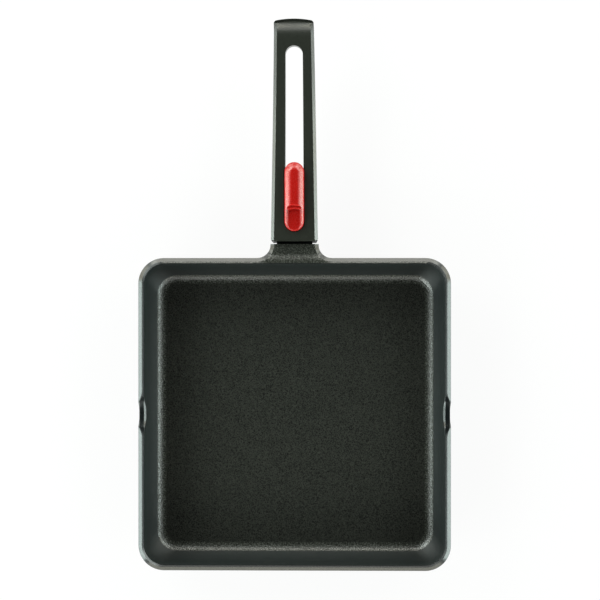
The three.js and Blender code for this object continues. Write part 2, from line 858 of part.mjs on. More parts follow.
// Assembly
const griddlePan = new THREE.Group();
griddlePan.add(piece('pan_body', panBody(), nonStick));
griddlePan.add(piece('induction_plate', inductionPlate(), steel));

const handle = new THREE.Group();
handle.position.set(0, lugFront + handleGap, panHeight);
griddlePan.add(handle);

handle.add(piece('lug_tongue', lugTongue(), blackSteel));
['left', 'right'].forEach((side, i) => {
  const screw = piece(`tongue_screw_${side}`, tongueScrew(), steel);
  screw.position.set((i - 0.5) * tongueScrewSpacing, tongueScrewPlace, -lugDepth);
  handle.add(screw);
});

handle.add(piece('handle_body', handleBody(), phenolic));
handle.add(piece('handle_cover', handleCover(), phenolic));
coverScrewSpots().forEach(([x, y], i) => {
  const end = i < 2 ? 'front' : 'rear';
  const side = x < 0 ? 'left' : 'right';
  const screw = piece(`cover_screw_${end}_${side}`, coverScrew(), steel);
  screw.position.set(x, y, -handleDepth);
  handle.add(screw);
});
handle.add(piece('catch_pin', catchPin(), steel));
handle.add(piece('spring_guide_pin', guidePin(), steel));
handle.add(piece('return_spring', returnSpring(), darkSteel));

handle.add(piece('release_slide', releaseSlide(), redPlastic));
handle.add(piece('slide_carriage', slideCarriage(), nylon));
handle.add(piece('blocking_bolt', blockingBolt(), steel));
slideScrewPlaces.forEach((y, i) => {
  const end = i === 0 ? 'front' : 'rear';
  const screw = piece(`slide_screw_${end}`, slideScrew(), steel);
  screw.position.set(0, y, slideScrewBase);
  handle.add(screw);
});

export default griddlePan;
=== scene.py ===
import math

import bmesh
import bpy
from mathutils import Matrix, Vector


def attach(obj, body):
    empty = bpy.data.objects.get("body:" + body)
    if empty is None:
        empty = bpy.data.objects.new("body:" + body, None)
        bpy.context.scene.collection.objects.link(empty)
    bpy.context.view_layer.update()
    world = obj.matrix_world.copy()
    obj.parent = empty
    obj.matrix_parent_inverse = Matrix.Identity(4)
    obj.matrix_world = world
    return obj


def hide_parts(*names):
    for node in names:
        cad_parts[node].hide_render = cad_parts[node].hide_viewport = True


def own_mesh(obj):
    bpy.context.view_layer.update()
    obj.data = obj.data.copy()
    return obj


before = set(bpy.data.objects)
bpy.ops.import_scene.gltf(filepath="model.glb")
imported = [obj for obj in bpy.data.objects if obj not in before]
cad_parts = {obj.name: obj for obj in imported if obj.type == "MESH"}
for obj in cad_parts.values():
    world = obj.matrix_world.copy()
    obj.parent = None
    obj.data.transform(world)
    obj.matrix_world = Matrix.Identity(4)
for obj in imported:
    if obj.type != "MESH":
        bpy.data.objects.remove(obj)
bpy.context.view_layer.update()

# Shapes are drawn in millimetres and scaled to metres when a piece is made.
MM = 0.001
GAP = 0.3
OVERRUN = 1

# How near a point lies to a line or level to count as on it, and to another point to become one
CLOSE = 0.1
VERY_CLOSE = 0.01
WELD = 1e-4
SOLID_WELD = 1e-3

# A face whose normal is upright by more than this counts as level.
LEVEL_FACING = 0.9

# Pan casting
PAN_HALF = 140
PAN_HEIGHT = 40
RIM_CORNER = 23
CORNER_SHRINK = 0.2
CORNER_STEPS = 14
RIM_CHAMFER = 3.4
RIM_CHAMFER_DROP = 4
RIM_FLAT = 1.8
RIM_CREST = 1.15
CREST_STEP = 0.6
FLOOR_HEIGHT = 6
INNER_DRAFT = math.radians(20.9)
WALL_HOLLOW = 2.8
WALL_TOP = 31
WALL_STEPS = 5
OUTER_DRAFT = math.radians(22.5)
WALL_FILLET = 8
BASE_FILLET_STEPS = 8
FLOOR_FILLET_STEPS = 12
WIDEST_ROUND = 0.25
CHAMFER_ROUND = 0.4
INSIDE_ROUND = 0.3
WIDEST = PAN_HEIGHT - RIM_CHAMFER_DROP
RIM_INSIDE = PAN_HALF - RIM_CHAMFER - RIM_FLAT
RIM_MIDDLE = RIM_INSIDE + CREST_STEP

# Coatings of the casting, in the order of its material slots, and the faces that take them. They are
# copies of one PTFE coating that differ in grain and roughness. Their base colours also paint light and
# shade: lighter on the floor, fillets and lug, darker on the walls.
SMOOTH, PEBBLED, CURVED, MATT = range(4)
COAT_MARGIN = 1
FILLET_SHARE = 0.7
WALL_FACING = 0.65
LUG_FACING = 0.8
FLOOR_FACING = 0.99

# Pouring dips and the lug
SPOUT_HALF = 20
SPOUT_FLAT = 3
SPOUT_DEPTH = 4.2
SPOUT_LIP = 2.35
SPOUT_EDGE = 2
SPOUT_ROLL = 0.4
SPOUT_SWELL = 1.2
SPOUT_CUTS = 16
LUG_HALF = 21.5
LUG_FRONT = 152.5
LUG_DEPTH = 20
LUG_FLARE = 12
LUG_STRIP = 60
LUG_FRONT_STEPS = 4
LUG_FLARE_STEPS = 9
LUG_FOOT = 0.5
LUG_DROP = 2.8
LUG_DROP_START = 136.6
LUG_DROP_END = 144.8
LUG_DROP_CUTS = 8
LUG_DROP_EASE = 1

# Tongue's seat in the lug, and its screws
SEAT_HALF = 16.3
SEAT_REAR = 140.7
SEAT_LOW = 28.2
SEAT_HIGH = 31.3
TONGUE_SCREW_COLUMNS = {"left": -9, "right": 9}
TONGUE_SCREW_PLACE = 146.75
TONGUE_HEAD_HOLE = 3.8
TONGUE_HEAD_TOP = 24
TONGUE_SHANK_HOLE = 2.3
TONGUE_SHANK_TOP = 34.3

# Perforated plate
PLATE_HALF = 98
PLATE_THICKNESS = 1.6
PLATE_CORNER = 16
PLATE_CORNER_STEPS = 16
PLATE_HOLE = 3
PLATE_PITCH = 25
PLATE_ROWS = 3
PLATE_WHOLE_ROWS = 1

# Handle moulding, in its own frame: front face at y = 0, top face at z = 0
HANDLE_START = 155.3
HANDLE_PLACE = Vector((0, HANDLE_START, PAN_HEIGHT))
HANDLE_LENGTH = 196.4
HANDLE_FRONT_HALF = 21.05
HANDLE_END_HALF = 17.65
FRONT_CORNER = 0.8
TIP_CORNER = 2.5
FRONT_LEAN = 1.9
HANDLE_DEPTH = 18
GRIP_DEPTH = 16
GRIP_CUT = 0.7
TIP_DEPTH = 11
EDGE_BAND = 2.75
EDGE_BAND_DROP = 2.7
SIDE_LEAN = 1.2
BELLY_ROUND = 3.5
BEND_START = 80
BEND_RADIUS = 420
BEND_CUT = 6
BEND_CUTS = 17
LIP_START = 177
LIP_RUN = 13.3
LIP_TOP_RUN = 4
LIP_SLOPE = 0.72
LIP_CUTS = 19
BAND_STEEPEN = 0.22
BAND_FADE = 5
BAND_FADE_END = 1
BAND_TIP = 1.6
TIP_ARC = 80
TIP_ARC_EASE = 3
TIP_ARC_END = 0.4
TIP_CUT = 3
TIP_CUT_REACH = 15
TIP_CUT_BACK = 6
SLOT_START = 64.2
SLOT_END = 173.4
SLOT_FRONT_HALF = 8.2
SLOT_END_HALF = 7.7
SLOT_END_FLAT = 0.05
SLOT_CORNER = 0.8
SLOT_CUT = 30

# Mechanism room in the handle
ROOM_HALF = 10
ROOM_FRONT = 3
ROOM_REAR = 59.7
ROOM_TOP = -4
MOUTH_REAR = 5.2
MOUTH_LOW = -11.8
MOUTH_HIGH = -8.7
MOUTH_DEEPEN = 1.2
NECK_SLOT_HALF = 5
NECK_SLOT_FRONT = 24
NECK_SLOT_REAR = 50
COVER_TOP = -16
COVER_HALF = 15.2
COVER_FRONT = 3.3
COVER_REAR = 61.7
COVER_CORNER = 3
COVER_CORNER_STEPS = 8
COVER_SCREW_COLUMNS = {"left": -12.4, "right": 12.4}
COVER_SCREW_ROWS = {"front": 8.5, "rear": 56.5}
COVER_SCREW_TOP = -7.7
POST_WIDTH = 3.5
PIN_PLACE = 17.9
PIN_HEIGHT = -6.7
PIN_RADIUS = 2
PIN_HALF = 14
PIN_CHAMFER = 0.3
SPRING_HEIGHT = -8.05
GUIDE_RADIUS = 1.7
GUIDE_START = 50.7
GUIDE_END = 62.7

# Thumb slide
SLIDE_TRAVEL = 8
SLIDE_HALF = 8.75
SLIDE_FRONT = 8.6
SLIDE_REAR = 70.2
SLIDE_EDGE = 0.6
SLIDE_WALL = 1
SLIDE_CROWN = 5
SLIDE_STEPS = 16
CAPSULE_SIDES = 48
SHOULDER_SLOPE = 0.75
SHOULDER_FLAT = 1.4
SHOULDER_FULL = 5.9
EDGE_SLOPE = 0.6
EDGE_START = 7.6
CROWN_SLOPE = 0.2
SCOOP_FRONT = -2
SCOOP_ARCH = 24
SCOOP_ARCH_RADIUS = 18
SCOOP_RIM = 0.6
SCOOP_FILLET = 4.6
SCOOP_STEP_FILLET = 0.8
SCOOP_WALL = 0.5
SCOOP_FLOOR = 1.9
SCOOP_STEP = 1.9
SCOOP_STEP_HEIGHT = 4.4
RELIEF_GAP = 0.7
RELIEF_DEPTH = 2
SHOE_HALF = 7.8
SHOE_INSET = 5
SHOE_DEPTH = 1.7
SLIDE_SCREW_ROWS = {"front": 29, "rear": 37}
SLIDE_SCREW_LOW = -15.3

# Screws: each section goes from the middle of the head to the tip, as radius and height
CAP_HEAD = [(0, 1), (3.5, 1), (3.5, 4), (2, 4), (2, 14), (0, 14)]
SUNK_HEAD = [(0, 0), (2.3, 0), (1.25, 1.4), (1.25, 10), (0, 10)]
PAN_HEAD = [(0, 0), (2.2, 0), (2.2, 1.5), (1.25, 1.5), (1.25, 14.7), (0, 14.7)]
SCREW_STEPS = 40
SCREW_EDGE = 0.12
SCREW_HOLE = 1.55
SINK_RADIUS = 2.6
SINK_DEPTH = 1.4
HEX_RADIUS = 1.75
HEX_DEPTH = 2
CROSS_HALF = 1.3
CROSS_BLADE = 0.28
CROSS_DEPTH = 0.8

# Studio floor
PAPER_HALF = 6000
PAPER_SINK = 0.2

# Soft boxes and camera, in metres, with the lens in millimetres
SIDE_BOX = 1.2
BACK_BOX = 1.5
FRONT_BOX = -1.3
CORNER_BOX = 1.1
CORNER_BOX_HEIGHT = 0.6
CORNER_BOX_WIDTH = 1.2
BOX_FOOT = 0.01
WIDE_BOX = 2.2
PAN_BOX_PLACE = -0.375
PAN_BOX_WIDTH = 1.23
HANDLE_BOX_PLACE = 0.725
HANDLE_BOX_WIDTH = 0.97
HIGH_BOX_PLACE = 0.1
HIGH_BOX_HEIGHT = 0.72
CAMERA_PLACE = Vector((0.0699, 0.1252, 2.49))
CAMERA_AIM = Vector((0.0051, 0.1024, 0.04))
FOCAL_LENGTH = 164.7
SENSOR_WIDTH = 36


def linear(code):
    """An sRGB hex colour as the linear values that shaders take."""
    parts = [int(code[i : i + 2], 16) / 255 for i in (1, 3, 5)]
    return [p / 12.92 if p <= 0.04045 else ((p + 0.055) / 1.055) ** 2.4 for p in parts] + [1]


def ease(value, start, end):
    """0 before start, 1 after end, with a smooth change between them."""
    share = min(max((value - start) / (end - start), 0), 1)
    return share * share * (3 - 2 * share)


def made(name, bm):
    """The drawn shape as an object at the origin, in metres."""
    bmesh.ops.scale(bm, vec=(MM, MM, MM), verts=bm.verts)
    mesh = bpy.data.meshes.new(name)
    bm.to_mesh(mesh)
    bm.free()
    piece = bpy.data.objects.new(name, mesh)
    bpy.context.scene.collection.objects.link(piece)
    return piece


def on_handle(bm):
    """Moves a shape drawn in the handle's frame to its place on the pan."""
    bmesh.ops.translate(bm, vec=HANDLE_PLACE, verts=bm.verts)


def work(piece, operation, *others):
    """Joins other shapes to a piece, or cuts them out of it, for good."""
    for other in others:
        step = piece.modifiers.new("work", "BOOLEAN")
        step.operation = operation
        step.solver = "EXACT"
        step.object = other
    seen = piece.evaluated_get(bpy.context.evaluated_depsgraph_get())
    mesh = bpy.data.meshes.new_from_object(seen)
    piece.modifiers.clear()
    piece.data = mesh
    for other in others:
        bpy.data.objects.remove(other)


def ease_edges(piece, width, segments=3, angle=35):
    """Rounds the sharp edges that a real tool can't leave sharp."""
    step = piece.modifiers.new("eased edges", "BEVEL")
    step.limit_method = "ANGLE"
    step.angle_limit = math.radians(angle)
    step.width = width * MM
    step.segments = segments
    step.use_clamp_overlap = True


def dress(piece, material, slot, body, *nodes):
    """Gives a piece its finishes and its body, and hides the CAD solids that it stands for."""
    finishes = material if isinstance(material, list) else [material]
    kept = [min(p.material_index, len(finishes) - 1) for p in piece.data.polygons]
    piece.data.materials.clear()
    for finish in finishes:
        piece.data.materials.append(finish)
    piece.data.polygons.foreach_set("material_index", kept)
    piece.data.shade_smooth()
    piece.data.set_sharp_from_angle(angle=math.radians(40))
    flatten = piece.modifiers.new("flat faces stay flat", "WEIGHTED_NORMAL")
    flatten.keep_sharp = True
    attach(piece, body)
    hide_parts(*nodes)
    return piece


def box(bm, x0, x1, y0, y1, z0, z1):
    """A box between two corners; gives its vertices."""
    verts = bmesh.ops.create_cube(bm, size=1)["verts"]
    bmesh.ops.scale(bm, vec=(x1 - x0, y1 - y0, z1 - z0), verts=verts)
    bmesh.ops.translate(bm, vec=((x0 + x1) / 2, (y0 + y1) / 2, (z0 + z1) / 2), verts=verts)
    return verts


def bar(bm, radius, start, end, sides=32):
    """A round bar between two points; gives its vertices."""
    line = Vector(end) - Vector(start)
    turn = line.to_track_quat("Z", "Y").to_matrix().to_4x4()
    place = Matrix.Translation((Vector(start) + Vector(end)) / 2) @ turn
    return bmesh.ops.create_cone(
        bm, cap_ends=True, segments=sides, radius1=radius, radius2=radius, depth=line.length, matrix=place
    )["verts"]


def round_edges(bm, edges, width, segments, clamp=False):
    """Rounds edges; with one segment it chamfers them."""
    bmesh.ops.bevel(
        bm,
        geom=edges,
        offset=width,
        segments=segments,
        profile=0.5,
        affect="EDGES",
        material=-1,
        clamp_overlap=clamp,
    )


def round_uprights(bm, verts, radius, segments, chosen=lambda middle: True):
    """Rounds the upright edges of a box that stand where chosen says."""
    uprights = []
    for e in {e for v in verts for e in v.link_edges}:
        a, b = (v.co for v in e.verts)
        if abs(a.z - b.z) > CLOSE and chosen((a + b) / 2):
            uprights.append(e)
    round_edges(bm, uprights, radius, segments)


def cut(bm, place, normal, faces=None):
    """Cuts some faces, or the whole shape, along a plane; the two sides stay joined."""
    if faces is None:
        geom = bm.verts[:] + bm.edges[:] + bm.faces[:]
    else:
        edges = {e for f in faces for e in f.edges}
        verts = {v for f in faces for v in f.verts}
        geom = faces + list(edges) + list(verts)
    bmesh.ops.bisect_plane(bm, geom=geom, dist=WELD, plane_co=place, plane_no=normal)


# Pan casting


def outer_wall(z):
    """Half the width of the pan's outside at a height."""
    return PAN_HALF - (WIDEST - z) * math.tan(OUTER_DRAFT)


def inner_wall(z):
    """The inside is a little hollow: steep under the rim and flatter towards the floor."""
    down = (PAN_HEIGHT - z) / (PAN_HEIGHT - FLOOR_HEIGHT)
    return RIM_INSIDE - (PAN_HEIGHT - z) * math.tan(INNER_DRAFT) + 4 * WALL_HOLLOW * down * (1 - down)


def corner_at(half):
    """Corner radius at a width: the rim band keeps its width round the corner."""
    inset = PAN_HALF - half
    band = min(inset, RIM_CHAMFER)
    return RIM_CORNER - band - CORNER_SHRINK * (inset - band)


def next_level(bm, edges, was, now):
    """Draws a rounded square ring on to its next width and height."""
    grown = bmesh.ops.extrude_edge_only(bm, edges=edges)["geom"]
    verts = [g for g in grown if isinstance(g, bmesh.types.BMVert)]
    core_was = was[0] - corner_at(was[0])
    core_now = now[0] - corner_at(now[0])
    grow = corner_at(now[0]) / corner_at(was[0])
    step = core_now - core_was
    for sx in (-1, 1):
        for sy in (-1, 1):
            corner = [v for v in verts if v.co.x * sx > 0 and v.co.y * sy > 0]
            middle = Matrix.Translation((-sx * core_was, -sy * core_was, 0))
            bmesh.ops.scale(bm, vec=(grow, grow, 1), space=middle, verts=corner)
            bmesh.ops.translate(bm, vec=(sx * step, sy * step, now[1] - was[1]), verts=corner)
    fresh = set(verts)
    return [g for g in grown if isinstance(g, bmesh.types.BMEdge) and set(g.verts) <= fresh]


def lug_point(column, z, inset):
    """Outline of the lug at a height: level front, then a flare into the wall."""
    i = abs(column)
    if i <= LUG_FRONT_STEPS:
        x = (LUG_HALF - inset) * i / LUG_FRONT_STEPS
        y = LUG_FRONT
    else:
        turn = math.pi * (1 + (i - LUG_FRONT_STEPS - 1) / (LUG_FLARE_STEPS - 1) / 2)
        x = LUG_HALF + LUG_FLARE + (LUG_FLARE + inset) * math.cos(turn)
        y = outer_wall(min(z, WIDEST)) + LUG_FLARE + (LUG_FLARE + inset) * math.sin(turn)
    return math.copysign(x, column), y


def pan_casting():
    """One ring is drawn up the outside, over the rim and down the inside; lug and dips follow."""
    bm = bmesh.new()
    ring = bm.edges.layers.int.new("ring")
    lug_low = PAN_HEIGHT - LUG_DEPTH
    levels = [
        (outer_wall(0), 0),
        (outer_wall(lug_low - LUG_FOOT), lug_low - LUG_FOOT),
        (outer_wall(lug_low), lug_low),
        (PAN_HALF, WIDEST),
        (PAN_HALF - RIM_CHAMFER, PAN_HEIGHT - RIM_CREST),
        (RIM_MIDDLE, PAN_HEIGHT - RIM_CREST / 3),
        (RIM_INSIDE, PAN_HEIGHT),
    ]
    for i in range(WALL_STEPS):
        z = WALL_TOP - (WALL_TOP - FLOOR_HEIGHT - WALL_FILLET) * i / (WALL_STEPS - 1)
        levels.append((inner_wall(z), z))
    levels.append((inner_wall(FLOOR_HEIGHT), FLOOR_HEIGHT))
    # Rings are numbered from 1, in the order of the levels.
    base, widest, chamfer, inside, floor = 1, 4, 5, 7, len(levels)

    # A square with rounded corners is drawn from level to level.
    half = levels[0][0]
    bmesh.ops.create_grid(bm, x_segments=1, y_segments=1, size=half)
    bmesh.ops.bevel(
        bm,
        geom=bm.verts[:],
        offset=corner_at(half),
        segments=CORNER_STEPS,
        profile=0.5,
        affect="VERTICES",
        material=-1,
    )
    edges = bm.edges[:]
    for number, (was, now) in enumerate(zip(levels, levels[1:]), 1):
        for e in edges:
            e[ring] = number
        new = next_level(bm, edges, was, now)
        # The new edges take the old ring's number along, and lose it again.
        for e in bm.edges:
            if e in new or e[ring] == number and e not in edges:
                e[ring] = 0
        edges = new
    for e in edges:
        e[ring] = floor
    bmesh.ops.contextual_create(bm, geom=edges)
    bmesh.ops.recalc_face_normals(bm, faces=bm.faces)

    # The lug: columns of the outside near the middle of the +Y side are drawn out to its outline.
    last = LUG_FRONT_STEPS + LUG_FLARE_STEPS
    reach = LUG_HALF + LUG_FLARE
    for column in range(-last, last + 1):
        near = [f for f in bm.faces if f.calc_center_median().y > RIM_INSIDE - LUG_STRIP]
        cut(bm, (reach * column / last, 0, 0), (1, 0, 0), near)
    for v in bm.verts:
        column = round(v.co.x * last / reach)
        high = v.co.z > lug_low - CLOSE
        beyond = v.co.y > outer_wall(lug_low) - CLOSE
        outside = v.co.y > PAN_HALF - RIM_CHAMFER - CLOSE or abs(v.co.z - lug_low) < VERY_CLOSE
        if abs(column) <= last and high and beyond and outside:
            inset = RIM_CHAMFER if v.co.z > WIDEST + CLOSE else 0
            v.co.x, v.co.y = lug_point(column, v.co.z, inset)

    # Its top sinks a little below the rim.
    for i in range(LUG_DROP_CUTS + 1):
        y = LUG_DROP_START + (LUG_DROP_END - LUG_DROP_START) * i / LUG_DROP_CUTS
        near = [f for f in bm.faces if f.calc_center_median().y > RIM_INSIDE]
        cut(bm, (0, y, 0), (0, 1, 0), [f for f in near if f.normal.z > LEVEL_FACING])
    for v in bm.verts:
        if v.co.z > WIDEST - CLOSE and v.co.y > LUG_DROP_START:
            inward = 1 - ease(abs(v.co.x), LUG_HALF + LUG_DROP_EASE, reach - LUG_DROP_EASE)
            v.co.z -= LUG_DROP * inward * ease(v.co.y, LUG_DROP_START, LUG_DROP_END)

    # The pouring dips: columns in the middle of the left and right rims sink along their walls.
    for i in range(-SPOUT_CUTS, SPOUT_CUTS + 1):
        cut(bm, (0, SPOUT_HALF * i / SPOUT_CUTS, 0), (0, 1, 0))
    for v in bm.verts:
        out = abs(v.co.x)
        along = abs(v.co.y)
        if along > SPOUT_HALF + VERY_CLOSE or out < RIM_INSIDE - CLOSE or v.co.z < WIDEST - CLOSE:
            continue
        sunk = 1 - ease(along, SPOUT_FLAT, SPOUT_HALF)
        dip = PAN_HEIGHT - SPOUT_DEPTH * sunk
        if v.co.z < WIDEST + CLOSE:
            v.co.z = min(WIDEST, dip - RIM_CREST - SPOUT_ROLL)
            out = outer_wall(v.co.z)
        elif out > RIM_MIDDLE + CLOSE:
            v.co.z = dip - RIM_CREST
            band = RIM_CHAMFER * (v.co.z - WIDEST) / (PAN_HEIGHT - RIM_CREST - WIDEST)
            out = PAN_HALF - max(band, SPOUT_EDGE * sunk)
        elif out > RIM_INSIDE + CLOSE:
            v.co.z = dip - RIM_CREST / 3
            out = RIM_MIDDLE - CREST_STEP * sunk
        else:
            v.co.z = dip - SPOUT_LIP * sunk
            out = inner_wall(v.co.z) - SPOUT_SWELL * sunk
        v.co.x = math.copysign(out, v.co.x)

    # Fillets at floor and base, then the small rounds that a coating gives every edge.
    for number, width, segments in (
        (base, WALL_FILLET * math.tan((math.pi / 2 - OUTER_DRAFT) / 2), BASE_FILLET_STEPS),
        (floor, WALL_FILLET * math.tan((math.pi / 2 - INNER_DRAFT) / 2), FLOOR_FILLET_STEPS),
        (widest, WIDEST_ROUND, 2),
        (chamfer, CHAMFER_ROUND, 3),
        (inside, INSIDE_ROUND, 3),
    ):
        round_edges(bm, [e for e in bm.edges if e[ring] == number], width, segments, clamp=True)
    # Faces take coating slots by place. The slots' base colours paint light and shade: floor, fillets and
    # lug get lighter copies, walls a darker one.
    for f in bm.faces:
        at = f.calc_center_median()
        low = FLOOR_HEIGHT - COAT_MARGIN < at.z < FLOOR_HEIGHT + WALL_FILLET * FILLET_SHARE
        within = max(abs(at.x), abs(at.y)) < inner_wall(at.z) + COAT_MARGIN / 2
        on_lug = at.y > RIM_INSIDE + COAT_MARGIN and f.normal.z > LUG_FACING
        on_wall = within and not low and 0 < f.normal.z < WALL_FACING and at.z < PAN_HEIGHT - COAT_MARGIN
        curved = on_lug or low and within and f.normal.z < FLOOR_FACING
        if curved:
            f.material_index = CURVED
        elif low and within:
            f.material_index = PEBBLED
        elif on_wall:
            f.material_index = MATT
        else:
            f.material_index = SMOOTH
    return made("pan_casting", bm)


def casting_rooms():
    """What is cut out of the casting: the plate's bed, the tongue's seat and the screw holes."""
    bm = bmesh.new()
    edge = PLATE_HALF + GAP
    bed = box(bm, -edge, edge, -edge, edge, -OVERRUN, PLATE_THICKNESS)
    round_uprights(bm, bed, PLATE_CORNER + GAP, PLATE_CORNER_STEPS)
    box(bm, -SEAT_HALF, SEAT_HALF, SEAT_REAR, LUG_FRONT + OVERRUN, SEAT_LOW, SEAT_HIGH)
    low = PAN_HEIGHT - LUG_DEPTH - OVERRUN
    y = TONGUE_SCREW_PLACE
    for x in TONGUE_SCREW_COLUMNS.values():
        bar(bm, TONGUE_HEAD_HOLE, (x, y, low), (x, y, TONGUE_HEAD_TOP))
        bar(bm, TONGUE_SHANK_HOLE, (x, y, TONGUE_HEAD_TOP - OVERRUN), (x, y, TONGUE_SHANK_TOP))
    return made("casting rooms", bm)


def base_plate():
    """The square plate with rounded corners, still without its holes."""
    bm = bmesh.new()
    plate = box(bm, -PLATE_HALF, PLATE_HALF, -PLATE_HALF, PLATE_HALF, 0, PLATE_THICKNESS)
    round_uprights(bm, plate, PLATE_CORNER, PLATE_CORNER_STEPS)
    return made("base_plate", bm)


def plate_holes():
    """Round holes in a square grid, with the middle of the plate left whole."""
    bm = bmesh.new()
    rows = range(-PLATE_ROWS, PLATE_ROWS + 1)
    for row in rows:
        for column in rows:
            if max(abs(row), abs(column)) > PLATE_WHOLE_ROWS:
                x, y = column * PLATE_PITCH, row * PLATE_PITCH
                bar(bm, PLATE_HOLE, (x, y, -OVERRUN), (x, y, PLATE_THICKNESS + OVERRUN))
    return made("plate holes", bm)


# Handle


def handle_top(y):
    """How far the top has risen along the handle: by its bend, and by the lip at its end."""
    bend = max(0, y - BEND_START) ** 2 / (2 * BEND_RADIUS)
    hollow = min(max(y - LIP_START, 0), LIP_RUN)
    crest = min(max(y - LIP_START - LIP_RUN, 0), LIP_TOP_RUN)
    lip = LIP_SLOPE * (hollow**3 / (3 * LIP_RUN**2) + crest - crest**2 / (2 * LIP_TOP_RUN))
    return bend, lip


def handle_depth(y):
    """Depth under the bend: less along the grip, and less again at the tip."""
    grip = ease(y, COVER_REAR + GAP, (SLOT_START + SLOT_END) / 2)
    tip = ease(y, SLOT_END - LIP_RUN, HANDLE_LENGTH)
    return HANDLE_DEPTH + (GRIP_DEPTH - HANDLE_DEPTH) * grip + (TIP_DEPTH - GRIP_DEPTH) * tip


def handle_moulding():
    """A straight bar with its edges shaped first, then sliced and bent to the handle's line."""
    bm = bmesh.new()
    half, depth, band = HANDLE_FRONT_HALF, HANDLE_DEPTH, EDGE_BAND
    verts = box(bm, -half, half, 0, HANDLE_LENGTH, -depth, 0)
    round_uprights(bm, verts, TIP_CORNER, 8, lambda middle: middle.y > HANDLE_LENGTH / 2)
    round_uprights(bm, bm.verts[:], FRONT_CORNER, 4, lambda middle: middle.y < CLOSE)

    def long_edges(z):
        level = [e for e in bm.edges if all(abs(v.co.z - z) < VERY_CLOSE for v in e.verts)]
        return [e for e in level if max(v.co.y for v in e.verts) > FRONT_CORNER + CLOSE]

    round_edges(bm, long_edges(0), band, 1)
    round_edges(bm, long_edges(-depth), BELLY_ROUND, 6)
    slices = [COVER_REAR + GAP + GRIP_CUT]
    slices += [BEND_START + BEND_CUT * i for i in range(BEND_CUTS)]
    slices += [LIP_START + i for i in range(LIP_CUTS)]
    for y in slices:
        cut(bm, (0, y, 0), (0, 1, 0))
    for x in range(-TIP_CUT_REACH, TIP_CUT_REACH + 1, TIP_CUT):
        tip = [f for f in bm.faces if f.calc_center_median().y > LIP_START - TIP_CUT_BACK]
        cut(bm, (x, 0, 0), (1, 0, 0), tip)

    for v in bm.verts:
        x, y, z = v.co
        bend, lip = handle_top(y)
        now = HANDLE_FRONT_HALF + (HANDLE_END_HALF - HANDLE_FRONT_HALF) * y / HANDLE_LENGTH
        fade = 1 - ease(y, HANDLE_LENGTH - BAND_FADE, HANDLE_LENGTH - BAND_FADE_END)
        out = abs(x) * now / half
        if z > -VERY_CLOSE:
            if abs(x) > half - band - VERY_CLOSE:
                out = now - max(EDGE_BAND * fade, BAND_TIP)
            up = bend + lip
        elif z > -band - VERY_CLOSE:
            out = now if abs(x) > half - VERY_CLOSE else out
            drop = EDGE_BAND_DROP * (1 + BAND_STEEPEN * ease(y, BEND_START, LIP_START))
            up = bend + lip - max(drop * fade, BAND_TIP)
        else:
            out = out if abs(x) < half - BELLY_ROUND - VERY_CLOSE else abs(x) - half + now - SIDE_LEAN
            up = bend - handle_depth(y) + z + depth
        at_tip = ease(y, LIP_START + LIP_RUN - TIP_ARC_EASE, HANDLE_LENGTH - TIP_ARC_END)
        arch = (TIP_ARC - math.sqrt(TIP_ARC**2 - out**2)) * at_tip
        lean = FRONT_LEAN if y < FRONT_CORNER + VERY_CLOSE and z < -band - VERY_CLOSE else 0
        v.co = (math.copysign(out, x), y - arch - lean, up)
    on_handle(bm)
    return made("handle_moulding", bm)


def capsule(bm, half, y0, y1, z):
    """A flat capsule seen from above; gives its face."""
    place = Matrix.Translation((0, y0 + half, z)) @ Matrix.Rotation(math.pi / CAPSULE_SIDES, 4, "Z")
    verts = bmesh.ops.create_circle(
        bm, cap_ends=True, segments=CAPSULE_SIDES, radius=half, matrix=place
    )["verts"]
    far = [v for v in verts if v.co.y > y0 + half]
    bmesh.ops.translate(bm, vec=(0, y1 - y0 - 2 * half, 0), verts=far)
    return verts[0].link_faces[0]


def raise_face(bm, face, height):
    """Draws a face up into a solid; gives the face on top."""
    drawn = bmesh.ops.extrude_face_region(bm, geom=[face], use_keep_orig=True)["geom"]
    verts = [g for g in drawn if isinstance(g, bmesh.types.BMVert)]
    bmesh.ops.translate(bm, vec=(0, 0, height), verts=verts)
    return next(g for g in drawn if isinstance(g, bmesh.types.BMFace))


